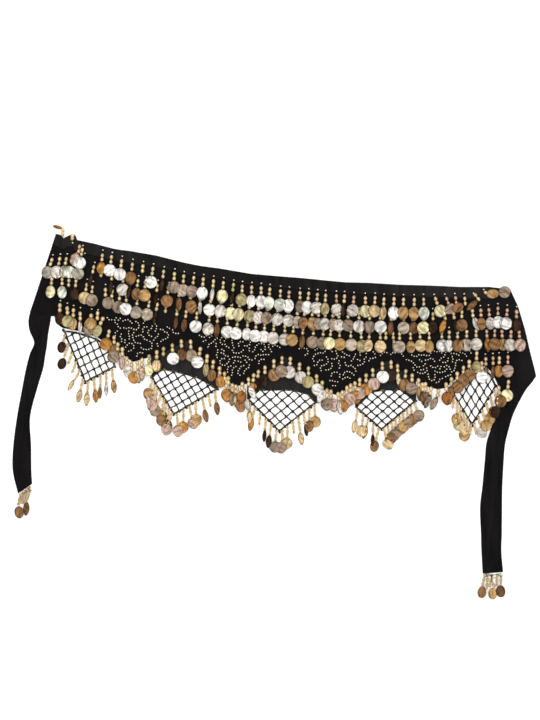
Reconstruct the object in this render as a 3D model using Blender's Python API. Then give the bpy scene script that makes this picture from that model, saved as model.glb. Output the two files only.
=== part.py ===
"""Belly dance hip scarf, laid out flat on a table with its outer side up.

A black hip panel carries rows of bead and coin strings. Its hem is cut into four
triangles. Satin arches fill the dips between the triangles, a square-mesh net hangs
point down from each dip, and two folded satin ties leave the panel's ends. Lengths
in the tables are millimetres on the table top: X along the waist to the right, Y from
hem to waist, Z up out of the cloth. The scene itself is in metres.
"""

import math

import bmesh
import bpy
from mathutils import Matrix, Vector

MM = 0.001

# ---- thicknesses and levels above the table ------------------------------------
GAP = 0.3               # air left between two pieces that touch
PANEL_THICK = 2.0       # two layers of cloth with the stiffening between them
CASING_THICK = 1.0      # folded casing along the waist, lying on the panel
CASING_DEPTH = 19.0
ARCH_THICK = 1.6        # plain satin between the triangles
NET_THICK = 1.6         # knotted cord
TIE_THICK = 2.2         # satin strap, folded double
TIE_EDGE = 1.2          # the strap thins to its folded edges

ON_TABLE = 0.0
ON_PANEL = PANEL_THICK + GAP
ON_CASING = ON_PANEL + CASING_THICK + GAP

# ---- hip panel: one row for each straight cut from its upper edge to its hem ------
# The hem's "dip" rows are the tops of the arches and its "tip" rows the triangles' points.
# Between tie_seam and net_start the waist puckers over the root of a string, and the hem
# rounds the notch beside the left tie.
#   name        top_x   top_y   hem_x   hem_y
PANEL_CUTS = [
    ("left_end", -349.5, 285.0, -391.0, 160.0),
    ("", -342.5, 283.3, -374.0, 156.6),
    ("tie_seam", -337.0, 278.3, -357.0, 153.3),
    ("", -333.0, 280.0, -352.2, 153.4),
    ("", -327.5, 283.0, -350.0, 147.0),
    ("", -319.0, 283.8, -343.8, 137.5),
    ("net_start", -315.5, 275.0, -339.0, 134.5),
    ("", -289.0, 269.5, -313.0, 129.5),
    ("dip_0", -258.5, 261.5, -284.0, 120.0),
    ("", -244.0, 259.0, -260.0, 104.0),
    ("tip_1", -231.0, 257.5, -226.5, 80.0),
    ("", -188.0, 250.0, -179.6, 93.8),
    ("dip_1", -145.0, 239.0, -140.0, 114.0),
    ("", -117.5, 233.5, -105.7, 75.8),
    ("", -99.0, 231.1, -78.0, 49.0),
    ("tip_2", -87.0, 229.5, -60.0, 41.5),
    ("", -71.4, 226.8, -46.0, 44.5),
    ("", -37.5, 221.0, -15.5, 62.4),
    ("dip_2", 2.5, 217.5, 18.5, 87.5),
    ("", 41.0, 214.5, 53.4, 54.8),
    ("", 64.5, 212.2, 79.0, 35.0),
    ("tip_3", 81.0, 210.5, 97.0, 27.5),
    ("", 95.6, 209.1, 118.0, 36.5),
    ("", 113.0, 207.5, 143.1, 51.0),
    ("dip_3", 153.0, 206.5, 180.0, 81.0),
    ("", 201.0, 203.5, 217.3, 55.7),
    ("", 222.3, 203.0, 240.0, 41.5),
    ("tip_4", 241.0, 202.5, 260.0, 36.5),
    ("", 249.3, 202.2, 272.0, 38.0),
    ("", 266.5, 201.5, 297.0, 58.5),
    ("dip_4", 297.0, 200.0, 324.0, 76.8),
    ("casing_end", 345.0, 200.0, 338.5, 72.0),
    ("end_slope", 377.0, 196.0, 348.0, 63.0),
    ("", 389.5, 169.5, 356.0, 46.5),
    ("side_seam", 401.0, 131.0, 361.5, 31.5),
    ("", 409.0, 96.0, 378.5, 37.0),
    ("", 416.0, 69.0, 396.0, 43.0),
    ("right_end", 418.5, 57.0, 412.8, 49.5),
]

# ---- satin arches: the lower edge of each, left to right --------------------------
#   arch  x       y
ARCH_EDGES = [
    (1, -197.5, 56.0),
    (1, -181.5, 71.0),
    (1, -157.5, 66.5),
    (1, -122.5, 57.0),
    (1, -101.5, 45.0),
    (1, -90.5, 37.0),
    (2, -44.0, 21.0),
    (2, -25.0, 37.0),
    (2, 2.5, 37.5),
    (2, 29.5, 37.0),
    (2, 52.0, 31.0),
    (2, 68.0, 16.0),
    (3, 129.0, 8.0),
    (3, 154.5, 34.5),
    (3, 178.5, 37.5),
    (3, 202.5, 37.5),
    (3, 226.5, 17.5),
]

# ---- nets: the point they hang to, and their two rows of cells up from that point ---
# An end is the far end of the net's lower edge on that side, with the cells along it.
#   net  tip_x   tip_y   left_x  left_y  cells  right_x right_y cells
NETS = [
    (1, -303.0, 46.5, -338.5, 131.0, 7, -255.0, 72.0, 5),
    (2, -161.5, -5.0, -197.5, 56.0, 6, -90.5, 37.0, 7),
    (3, 7.5, -32.0, -44.0, 21.0, 6, 68.0, 16.0, 6),
    (4, 171.0, -29.0, 129.0, 8.0, 5, 226.5, 17.5, 6),
    (5, 316.0, -22.5, 279.0, 38.5, 5, 355.0, 41.5, 6),
]
# The two end nets hang from the hem itself: the points of their upper edges.
#   net  x       y
NET_TOPS = [
    (1, -313.0, 127.5),
    (1, -284.0, 117.5),
    (1, -262.0, 101.5),
    (1, -257.0, 97.0),
    (5, 297.0, 56.0),
    (5, 324.0, 74.0),
    (5, 337.0, 70.0),
    (5, 346.0, 60.0),
]
CORD = 2.2              # net cord across its knots
NET_BORDER = 3.0        # doubled cord along a net's edges
SMALLEST_HOLE = 26.0    # mm2: a cut-off cell smaller than this is closed by its knots

# ---- ties: one row for each cut across the strap, from the panel to its free end ----
#   tie      left_x  left_y   right_x right_y
TIE_CUTS = [
    ("left", -391.2, 159.5, -357.4, 152.8),
    ("left", -393.7, 145.5, -359.2, 141.0),
    ("left", -391.6, 129.5, -362.0, 125.0),
    ("left", -384.6, 111.0, -364.0, 107.0),
    ("left", -391.4, 93.0, -366.9, 89.5),
    ("left", -398.1, 67.0, -370.3, 69.0),
    ("left", -404.2, 35.0, -379.4, 38.5),
    ("left", -412.0, -8.0, -391.0, -8.0),
    ("left", -417.8, -53.0, -389.5, -53.0),
    ("left", -418.8, -93.0, -389.1, -93.0),
    ("left", -410.4, -130.5, -387.8, -115.0),
    ("right", 361.5, 30.5, 412.3, 48.0),
    ("right", 357.5, 13.0, 400.0, 32.0),
    ("right", 352.0, -9.5, 382.8, -1.5),
    ("right", 344.4, -32.0, 374.3, -29.0),
    ("right", 338.8, -51.0, 368.9, -52.0),
    ("right", 336.5, -77.0, 366.7, -77.0),
    ("right", 332.6, -118.5, 364.5, -118.5),
    ("right", 328.9, -153.0, 364.0, -153.0),
    ("right", 330.3, -195.0, 363.6, -195.0),
    ("right", 331.1, -224.0, 363.0, -224.0),
    ("right", 333.0, -258.5, 365.7, -256.0),
]
# Ridges that the folds raise along the straps. start and end count the cuts above;
# across runs from 0 at the strap's left edge to 1 at its right edge.
#   tie      start  end   across_start  across_end  height  half_width
TIE_FOLDS = [
    ("left", 0.0, 2.5, 0.30, 0.80, 1.3, 0.22),
    ("left", 2.0, 10.0, 0.35, 0.30, 1.0, 0.20),
    ("left", 4.0, 9.0, 0.75, 0.80, 0.7, 0.18),
    ("right", 0.0, 3.5, 0.75, 0.35, 1.4, 0.22),
    ("right", 5.0, 9.5, 0.95, 0.20, 1.5, 0.20),
    ("right", 7.0, 10.0, 0.60, 0.80, 0.8, 0.18),
]
TIE_ACROSS = [0.0, 0.12, 0.3, 0.5, 0.7, 0.88, 1.0]

# ---- where the coin rows are sewn on, left to right --------------------------------
#   row      x       y
ROW_SEAMS = [
    ("a_end", -356.0, 251.0),
    ("a_end", -330.0, 253.5),
    ("a", -312.0, 266.5),
    ("a", -273.0, 259.0),
    ("a", -226.5, 244.5),
    ("a", -145.0, 225.0),
    ("a", -81.0, 214.0),
    ("a", -36.0, 207.0),
    ("a", 41.0, 197.5),
    ("a", 127.0, 191.0),
    ("a", 201.0, 188.0),
    ("a", 271.0, 188.5),
    ("a", 322.0, 190.0),
    ("b", -300.0, 244.0),
    ("b", -258.5, 228.0),
    ("b", -191.0, 212.5),
    ("b", -145.0, 200.5),
    ("b", -36.0, 182.5),
    ("b", 41.0, 173.0),
    ("b", 127.0, 166.5),
    ("b", 201.0, 163.5),
    ("b", 271.0, 165.0),
    ("b", 329.0, 170.5),
    ("b", 361.0, 173.0),
    ("b", 392.0, 168.0),
    ("c", -361.0, 222.0),
    ("c", -316.0, 218.0),
    ("c", -290.5, 209.5),
    ("c", -261.5, 201.0),
    ("c", -191.0, 182.0),
    ("c", -145.0, 170.0),
    ("c", -81.0, 159.0),
    ("c", -36.0, 152.0),
    ("c", 41.0, 142.5),
    ("c", 127.0, 136.0),
    ("c", 201.0, 133.5),
    ("c", 271.0, 135.5),
    ("c", 329.0, 138.0),
    ("c", 392.0, 136.5),
    ("d", 333.0, 93.0),
    ("d", 375.0, 95.0),
]

# ---- where the hem's strings are sewn on: a line a little up from the hem ------------
#   name        x       y
HEM_SEAMS = [
    ("net_start", -343.0, 178.5),
    ("", -313.0, 167.3),
    ("dip_0", -282.5, 163.5),
    ("", -253.5, 124.0),
    ("tip_1", -226.5, 83.5),
    ("", -183.0, 106.0),
    ("dip_1", -140.0, 125.0),
    ("", -100.0, 91.5),
    ("tip_2", -60.0, 46.5),
    ("", -20.0, 76.5),
    ("dip_2", 18.5, 98.0),
    ("", 60.0, 72.5),
    ("tip_3", 97.0, 34.0),
    ("", 138.5, 61.0),
    ("dip_3", 180.0, 91.5),
    ("", 221.5, 66.0),
    ("tip_4", 260.0, 39.5),
    ("", 293.5, 70.5),
    ("dip_4", 324.0, 102.5),
    ("", 338.5, 83.5),
    ("end_slope", 348.0, 66.5),
    ("", 356.0, 50.0),
    ("side_seam", 361.5, 35.0),
]

# ---- strings --------------------------------------------------------------------------
# A string runs from its root to a bead bulge and on to the neck of its coin. Its coin is
# a flat plate: outline points are given as turns (degrees from the neck) and radius parts.
TAPE_WIDE = 3.0         # narrow tape that the roots are fused into
TAPE_HIGH = 1.0
ROOT_WIDE = 2.2
STRAND_LIFT = 0.3       # strings start this far above the table when it is what they lie on
COIN_THICK = 0.9
#   kind       bead_at bead_wide bead_high  drop  coin_wide coin_long corners
STRINGS = {
    "coin": dict(bead_at=8.5, bead_wide=4.6, bead_high=2.4, drop=20.0, wide=20.0, long=20.0, corners=8),
    "leaf": dict(bead_at=8.0, bead_wide=3.2, bead_high=2.2, drop=17.0, wide=7.0, long=20.0, corners=5),
    "tassel": dict(bead_at=12.0, bead_wide=4.0, bead_high=2.2, drop=18.0, wide=15.0, long=20.0, corners=8),
}

# ---- finishes ---------------------------------------------------------------------------
#   name          red    green  blue   roughness metallic
FINISHES = {
    "black_chiffon": (0.012, 0.010, 0.011, 0.80, 0.0),
    "black_satin": (0.020, 0.018, 0.019, 0.45, 0.0),
    "black_cord": (0.008, 0.007, 0.007, 0.70, 0.0),
    "gold_coin": (0.780, 0.640, 0.420, 0.30, 1.0),
}


def finish(name):
    """The named Principled material, made once."""
    material = bpy.data.materials.get(name)
    if material:
        return material
    red, green, blue, roughness, metallic = FINISHES[name]
    material = bpy.data.materials.new(name)
    material.use_nodes = True
    shader = material.node_tree.nodes["Principled BSDF"]
    shader.inputs["Base Color"].default_value = (red, green, blue, 1.0)
    shader.inputs["Roughness"].default_value = roughness
    shader.inputs["Metallic"].default_value = metallic
    material.diffuse_color = (red, green, blue, 1.0)
    return material


def add_solid(name, finish_name, bm):
    """Turn a bmesh in millimetres into a named object in metres, faces outward."""
    bmesh.ops.recalc_face_normals(bm, faces=bm.faces)
    bmesh.ops.scale(bm, vec=(MM, MM, MM), verts=bm.verts)
    mesh = bpy.data.meshes.new(name)
    bm.to_mesh(mesh)
    bm.free()
    mesh.materials.append(finish(finish_name))
    obj = bpy.data.objects.new(name, mesh)
    bpy.context.scene.collection.objects.link(obj)
    return obj


def rows_named(table, key):
    """The rest of each table row whose first column is key."""
    return [row[1:] for row in table if row[0] == key]


def between(points, x):
    """Height at x of the line through points that run left to right."""
    for (x0, y0), (x1, y1) in zip(points, points[1:]):
        if x0 <= x <= x1:
            return y0 + (y1 - y0) * (x - x0) / (x1 - x0)
    raise ValueError("no stretch of the line holds this x")


def slab(rows, low):
    """Closed wall over a grid of (x, y, top) points, flat underneath at low."""
    bm = bmesh.new()
    tops = [[bm.verts.new(point) for point in row] for row in rows]
    feet = [[bm.verts.new((x, y, low)) for x, y, _ in row] for row in rows]
    last = len(rows[0]) - 1
    for row in range(len(rows) - 1):
        for column in range(last):
            for grid in (tops, feet):
                bm.faces.new((grid[row][column], grid[row][column + 1],
                              grid[row + 1][column + 1], grid[row + 1][column]))
        for column in (0, last):
            bm.faces.new((tops[row][column], tops[row + 1][column],
                          feet[row + 1][column], feet[row][column]))
    for row in (0, len(rows) - 1):
        for column in range(last):
            bm.faces.new((tops[row][column], tops[row][column + 1],
                          feet[row][column + 1], feet[row][column]))
    return bm


# ---- cloth ----------------------------------------------------------------------------------
def hem_line():
    """The panel's hem, left to right."""
    return [(hem_x, hem_y) for _, _, _, hem_x, hem_y in PANEL_CUTS]


def make_hip_panel():
    rows = [[(top_x, top_y, PANEL_THICK), (hem_x, hem_y, PANEL_THICK)]
            for _, top_x, top_y, hem_x, hem_y in PANEL_CUTS]
    add_solid("hip_panel", "black_chiffon", slab(rows, ON_TABLE))


def make_waist_casing():
    """Folded strip along the waist, made from the panel's cuts and moved up."""
    rows = []
    top = ON_PANEL + CASING_THICK
    for name, top_x, top_y, hem_x, hem_y in PANEL_CUTS:
        part = CASING_DEPTH / math.hypot(hem_x - top_x, hem_y - top_y)
        rows.append([(top_x, top_y, top),
                     (top_x + (hem_x - top_x) * part, top_y + (hem_y - top_y) * part, top)])
        if name == "casing_end":
            break
    add_solid("waist_casing", "black_satin", slab(rows, ON_PANEL))


def make_satin_arches():
    """Satin between two triangles, from the hem down to the net's upper edge."""
    side_gap = 1.6 * GAP        # measured upright, so that the sloping seams keep GAP
    hem = hem_line()
    for arch in (1, 2, 3):
        edge = rows_named(ARCH_EDGES, arch)
        dips = [point[0] for point in hem if edge[0][0] < point[0] < edge[-1][0]]
        stations = sorted({x for x, _ in edge} | set(dips))
        rows = [[(x, between(hem, x) - side_gap, ARCH_THICK), (x, between(edge, x), ARCH_THICK)]
                for x in stations]
        add_solid(f"satin_arch_{arch}", "black_satin", slab(rows, ON_TABLE))


def tie_height(tie, place, across):
    """Top of the strap: thin folded edges, a body of even thickness, and its ridges."""
    edge = min(across, 1.0 - across) / TIE_ACROSS[1]
    height = TIE_EDGE + (TIE_THICK - TIE_EDGE) * min(1.0, edge)
    for start, end, across_start, across_end, ridge, half_width in rows_named(TIE_FOLDS, tie):
        if start <= place <= end:
            part = (place - start) / (end - start)
            middle = across_start + (across_end - across_start) * part
            reach = max(0.0, 1.0 - abs(across - middle) / half_width)
            height += ridge * reach * min(1.0, edge) * math.sin(math.pi * part) ** 0.5
    return height


def make_ties():
    for tie in ("left", "right"):
        rows = []
        for place, (left_x, left_y, right_x, right_y) in enumerate(rows_named(TIE_CUTS, tie)):
            rows.append([(left_x + (right_x - left_x) * across,
                          left_y + (right_y - left_y) * across,
                          tie_height(tie, place, across)) for across in TIE_ACROSS])
        add_solid(f"tie_{tie}", "black_satin", slab(rows, ON_TABLE))


# ---- nets --------------------------------------------------------------------------------------
def clip(polygon, start, end, inset):
    """Keep what lies left of the line start-end moved inwards (to its left) by inset."""
    along = (end - start).normalized()
    inward = Vector((-along.y, along.x))
    kept = []
    for current, following in zip(polygon, polygon[1:] + polygon[:1]):
        here = (current - start).dot(inward) - inset
        there = (following - start).dot(inward) - inset
        if here >= 0:
            kept.append(current)
        if (here >= 0) != (there >= 0):
            kept.append(current.lerp(following, here / (here - there)))
    return kept


def area(polygon):
    """Signed area, positive when the polygon runs anticlockwise."""
    pairs = zip(polygon, polygon[1:] + polygon[:1])
    return 0.5 * sum(a.x * b.y - b.x * a.y for a, b in pairs)


def net_outline(net, tip, left, right):
    """The net's edge, anticlockwise from its tip; arches give the middle nets' upper edges."""
    if net in (1, 5):
        top = rows_named(NET_TOPS, net)
        corners = [left] + [Vector(point) for point in top] + [right]
    else:
        corners = [Vector((x, y - GAP)) for x, y in rows_named(ARCH_EDGES, net - 1)]
    return [tip] + corners[::-1]


def net_holes(outline, tip, step_left, step_right):
    """Cells of the square mesh that stay open inside the border, as polygons."""
    holes = []
    for row in range(-1, 12):
        for column in range(-1, 12):
            middle = tip + step_left * (row + 0.5) + step_right * (column + 0.5)
            sides = (step_left.length + step_right.length) / 2
            shrink = 1.0 - CORD / sides
            half_left = step_left * (0.5 * shrink)
            half_right = step_right * (0.5 * shrink)
            cell = [middle - half_left - half_right, middle - half_left + half_right,
                    middle + half_left + half_right, middle + half_left - half_right]
            for start, end in zip(outline, outline[1:] + outline[:1]):
                if cell:
                    cell = clip(cell, start, end, NET_BORDER)
            if len(cell) > 2 and abs(area(cell)) > SMALLEST_HOLE:
                holes.append(cell)
    return holes


def make_nets():
    for net, tip_x, tip_y, left_x, left_y, left_cells, right_x, right_y, right_cells in NETS:
        tip = Vector((tip_x, tip_y))
        left = Vector((left_x, left_y))
        right = Vector((right_x, right_y))
        outline = net_outline(net, tip, left, right)
        step_left = (left - tip) / left_cells
        step_right = (right - tip) / right_cells
        bm = bmesh.new()
        edges = []
        for loop in [outline] + net_holes(outline, tip, step_left, step_right):
            verts = [bm.verts.new((point.x, point.y, ON_TABLE)) for point in loop]
            edges += [bm.edges.new(pair) for pair in zip(verts, verts[1:] + verts[:1])]
        bmesh.ops.triangle_fill(bm, edges=edges, use_beauty=True)
        raised = bmesh.ops.extrude_face_region(bm, geom=bm.faces[:])
        lifted = [item for item in raised["geom"] if isinstance(item, bmesh.types.BMVert)]
        bmesh.ops.translate(bm, verts=lifted, vec=(0.0, 0.0, NET_THICK))
        add_solid(f"net_{net}", "black_cord", bm)


# ---- strings of beads and coins ----------------------------------------------------------------------
def spread(path, count):
    """count places along a path, each with its (point, direction)."""
    path = [Vector(point) for point in path]
    lengths = [(b - a).length for a, b in zip(path, path[1:])]
    places = []
    for index in range(count):
        distance = (index + 0.5) * sum(lengths) / count
        for start, end, length in zip(path, path[1:], lengths):
            if distance <= length:
                break
            distance -= length
        direction = (end - start).normalized()
        places.append((start + direction * min(distance, length), direction))
    return places


def coin_outline(middle, down, across, kind):
    """Coin or leaf edge round from the neck's left side to its right side."""
    corners = kind["corners"]
    neck = math.asin(ROOT_WIDE / kind["wide"])
    outline = []
    for corner in range(corners):
        turn = neck + (2 * math.pi - 2 * neck) * corner / (corners - 1)
        outline.append(middle - down * (0.5 * kind["long"] * math.cos(turn))
                       - across * (0.5 * kind["wide"] * math.sin(turn)))
    return outline


def add_strand(bm, root_ring, root, lean, kind, base, coin_level, slope):
    """One string of four sides from its root ring out to its coin, in one skin with the tape."""
    down = Vector((math.sin(lean), -math.cos(lean)))
    across = Vector((-down.y, down.x))
    bead = root + down * kind["bead_at"]
    half = across * (0.5 * kind["bead_wide"])
    low = base
    high = base + kind["bead_high"]
    bead_ring = [bm.verts.new((*(bead - half), low)), bm.verts.new((*(bead - half), high)),
                 bm.verts.new((*(bead + half), high)), bm.verts.new((*(bead + half), low))]
    middle = root + down * (kind["drop"] + 0.5 * kind["long"])
    under = []
    over = []
    for point in coin_outline(middle, down, across, kind):
        level = coin_level + slope.dot(point - middle)
        under.append(bm.verts.new((*point, level - 0.5 * COIN_THICK)))
        over.append(bm.verts.new((*point, level + 0.5 * COIN_THICK)))
    neck_ring = [under[0], over[0], over[-1], under[-1]]
    for ring, following in ((root_ring, bead_ring), (bead_ring, neck_ring)):
        for side in range(4):
            other = (side + 1) % 4
            bm.faces.new((ring[side], ring[other], following[other], following[side]))
    bm.faces.new(under)
    bm.faces.new(over)
    for corner in range(len(under) - 1):
        bm.faces.new((under[corner], under[corner + 1], over[corner + 1], over[corner]))


def make_fringe(name, path, count, kind_name, base, coin_level, lean=None, overlap=0):
    """Strings side by side on one narrow tape.

    path runs left to right along the strings' roots. lean is the strings' angle from
    straight down in degrees, or None for halfway between that and square to the tape.
    overlap is +1 where each coin lies over the next one to the right, -1 for the next to
    the left, and 0 for coins that lie flat.
    """
    kind = STRINGS[kind_name]
    lift = max(base, STRAND_LIFT)
    bm = bmesh.new()
    places = spread(path, count)
    pitch = min(((b[0] - a[0]).length for a, b in zip(places, places[1:])), default=kind["wide"])
    rise = overlap * (COIN_THICK + 0.5) / pitch
    stations = []
    for root, direction in places:
        square = math.atan2(direction.y, direction.x)
        angle = square / 2 if lean is None else math.radians(lean)
        back = Vector((-direction.y, direction.x)) * TAPE_WIDE
        pair = []
        for side in (-1, 1):
            front = root + direction * (side * 0.5 * ROOT_WIDE)
            pair.append([bm.verts.new((*(front + back), base)), bm.verts.new((*front, base)),
                         bm.verts.new((*front, base + TAPE_HIGH))])
        root_ring = [pair[0][1], pair[0][2], pair[1][2], pair[1][1]]
        add_strand(bm, root_ring, root, angle, kind, lift, coin_level, direction * rise)
        stations += pair
    for index, (here, there) in enumerate(zip(stations, stations[1:])):
        bm.faces.new((here[0], here[1], there[1], there[0]))
        bm.faces.new((here[0], here[2], there[2], there[0]))
        if index % 2:
            bm.faces.new((here[1], here[2], there[2], there[1]))
    bm.faces.new(stations[0])
    bm.faces.new(stations[-1])
    add_solid(name, "gold_coin", bm)


COIN_LOW = ON_PANEL + 4.3       # coins pass over the beads of the string beside them
COIN_HIGH = COIN_LOW + 2.0      # where two runs of coins meet, one run passes over the other

# Rows on the panel: name, seam, strings, base, coin level
COIN_ROWS = [
    ("coin_row_a_end", "a_end", 3, ON_PANEL, COIN_LOW),
    ("coin_row_a", "a", 37, ON_CASING, COIN_LOW + 0.8),
    ("coin_row_b", "b", 40, ON_PANEL, COIN_LOW),
    ("coin_row_c", "c", 43, ON_PANEL, COIN_LOW),
    ("coin_row_d", "d", 4, ON_PANEL, COIN_LOW),
]
# Strings along the hem: name, from and to (rows of HEM_SEAMS), strings, overlap
HEM_RUNS = [
    ("hem_fringe_1", "net_start", "dip_0", 5, -1),
    ("hem_fringe_2", "dip_0", "tip_1", 6, 1),
    ("hem_fringe_3", "tip_1", "dip_1", 6, -1),
    ("hem_fringe_4", "dip_1", "tip_2", 7, 1),
    ("hem_fringe_5", "tip_2", "dip_2", 6, -1),
    ("hem_fringe_6", "dip_2", "tip_3", 7, 1),
    ("hem_fringe_7", "tip_3", "dip_3", 6, -1),
    ("hem_fringe_8", "dip_3", "tip_4", 6, 1),
    ("hem_fringe_9", "tip_4", "dip_4", 6, -1),
    ("hem_fringe_10", "end_slope", "side_seam", 3, 1),
]
# Strings along the nets' lower edges: net, edge, strings, lean, level of their leaves
NET_RUNS = [
    (1, "left", 5, -14.0, 1.6),
    (1, "right", 5, 8.0, 1.6),
    (2, "left", 5, -30.0, 1.6),
    (2, "right", 6, 12.0, 1.6),
    (3, "left", 5, -22.0, 1.6),
    (3, "right", 6, 14.0, 1.6),
    (4, "left", 4, -18.0, 1.6),
    (4, "right", 6, 22.0, 1.6),
    (5, "left", 5, -24.0, 1.6),
    (5, "right", 5, 20.0, 3.6),      # these leaves lie over the right tie's edge
]
# Single strings turned out over the corners of the waist: name, root, lean, coin level
CORNER_STRINGS = [
    ("corner_string_left", (-336.0, 272.0), -152.0, 4.5),
    ("corner_string_right", (331.0, 190.5), 90.0, ON_CASING + 3.0),
]


def make_coin_rows():
    for name, seam, count, base, level in COIN_ROWS:
        make_fringe(name, rows_named(ROW_SEAMS, seam), count, "coin", base, level, overlap=1)


def make_hem_fringes():
    names = [row[0] for row in HEM_SEAMS]
    for name, start, end, count, overlap in HEM_RUNS:
        path = [row[1:] for row in HEM_SEAMS[names.index(start):names.index(end) + 1]]
        level = COIN_HIGH if overlap < 0 else COIN_LOW
        make_fringe(name, path, count, "coin", ON_PANEL, level, lean=0.0, overlap=overlap)


def make_net_fringes():
    """Leaf strings on a tape just outside each net's two lower edges."""
    off = TAPE_WIDE + GAP
    ends = {row[0]: row[1:] for row in NETS}
    for net, side, count, lean, level in NET_RUNS:
        tip_x, tip_y, left_x, left_y, _, right_x, right_y, _ = ends[net]
        tip = Vector((tip_x, tip_y))
        start = Vector((left_x, left_y)) if side == "left" else tip
        stop = tip if side == "left" else Vector((right_x, right_y))
        along = (stop - start).normalized()
        out = Vector((along.y, -along.x)) * off
        make_fringe(f"net_fringe_{net}_{side}", [start + out, stop + out], count, "leaf",
                    ON_TABLE, level, lean=lean)


def make_corner_strings():
    """The tape of each lies square to its string, and the string runs out over the corner."""
    for name, (root_x, root_y), lean, level in CORNER_STRINGS:
        turn = math.radians(lean)
        half = Vector((math.cos(turn), math.sin(turn))) * TAPE_WIDE
        root = Vector((root_x, root_y))
        make_fringe(name, [root - half, root + half], 1, "coin", ON_CASING, level, lean=lean)


def make_tie_tassels():
    """Three coins on long strings below each tie's free end."""
    for tie in ("left", "right"):
        left_x, left_y, right_x, right_y = rows_named(TIE_CUTS, tie)[-1]
        off = TAPE_WIDE + 4 * GAP
        path = [(left_x + 1.0, left_y - off), (right_x - 1.0, right_y - off)]
        make_fringe(f"tie_tassel_{tie}", path, 3, "tassel", ON_TABLE, 3.0, lean=0.0, overlap=1)


def centre_on_origin():
    """Move everything so that the origin is the middle of the part's footprint."""
    solids = list(bpy.context.scene.objects)
    corners = [vertex.co for obj in solids for vertex in obj.data.vertices]
    middle_x = (min(c.x for c in corners) + max(c.x for c in corners)) / 2
    middle_y = (min(c.y for c in corners) + max(c.y for c in corners)) / 2
    for obj in solids:
        obj.data.transform(Matrix.Translation((-middle_x, -middle_y, 0.0)))


def main():
    for obj in list(bpy.data.objects):
        bpy.data.objects.remove(obj, do_unlink=True)
    make_hip_panel()
    make_waist_casing()
    make_satin_arches()
    make_ties()
    make_nets()
    make_coin_rows()
    make_hem_fringes()
    make_net_fringes()
    make_corner_strings()
    make_tie_tassels()
    centre_on_origin()


main()
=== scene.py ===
"""Looks of a belly dance hip scarf that lies flat, with its outer side up.

The cloth is a black hip panel with a casing along the waist, three satin arches and two
folded satin ties. Knotted nets hang from the hem, and strings of beads and coins hang from
seams on the panel, from its hem and from the nets. Tables are in millimetres on the table
top: X along the waist to the right, Y from hem to waist, Z up out of the cloth.
"""

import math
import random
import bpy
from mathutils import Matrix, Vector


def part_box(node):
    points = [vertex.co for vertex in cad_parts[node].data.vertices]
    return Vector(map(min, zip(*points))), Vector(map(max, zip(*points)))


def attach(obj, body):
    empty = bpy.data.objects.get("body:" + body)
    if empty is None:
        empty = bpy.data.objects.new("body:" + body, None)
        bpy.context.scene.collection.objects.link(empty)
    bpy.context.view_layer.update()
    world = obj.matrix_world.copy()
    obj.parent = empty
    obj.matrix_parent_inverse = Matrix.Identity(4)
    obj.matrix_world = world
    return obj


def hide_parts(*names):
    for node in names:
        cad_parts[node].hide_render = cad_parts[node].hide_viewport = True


bl_info = {
    "name": "Belly dance hip scarf",
    "version": (1, 0, 0),
    "blender": (4, 5, 0),
    "location": "View3D > Sidebar > Hip scarf",
    "description": "Dresses the scarf's solids in cloth, knotted net, beads and coins",
    "category": "Object",
}

import bpy
import numpy as np
from bpy.props import FloatProperty, FloatVectorProperty, PointerProperty
from mathutils import Matrix, Vector

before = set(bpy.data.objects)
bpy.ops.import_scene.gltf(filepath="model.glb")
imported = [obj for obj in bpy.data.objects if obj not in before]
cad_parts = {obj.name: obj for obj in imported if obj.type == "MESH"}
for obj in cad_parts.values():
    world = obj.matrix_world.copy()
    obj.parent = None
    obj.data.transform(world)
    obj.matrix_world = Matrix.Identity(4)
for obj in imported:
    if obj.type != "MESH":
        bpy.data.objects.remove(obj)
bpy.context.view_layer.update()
MM = 0.001

# The tables' place in the frame, from the hip panel's leftmost and highest points.
PANEL_LOW, PANEL_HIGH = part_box("hip_panel")
SHIFT = Vector((PANEL_LOW.x / MM + 391.0, PANEL_HIGH.y / MM - 285.0, 0.0))

# ---- levels above the table -------------------------------------------------------------
PANEL_TOP = 2.0
CASING_LOW = 2.3
CASING_TOP = 3.3
CASING_DEPTH = 19.0
ARCH_TOP = 1.6
TIE_TOP = 2.2
TIE_EDGE = 1.2
CORD_LEVEL = 1.0
ON_PANEL = 2.1
ON_CASING = 3.4
ON_TABLE = 0.3

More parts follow.
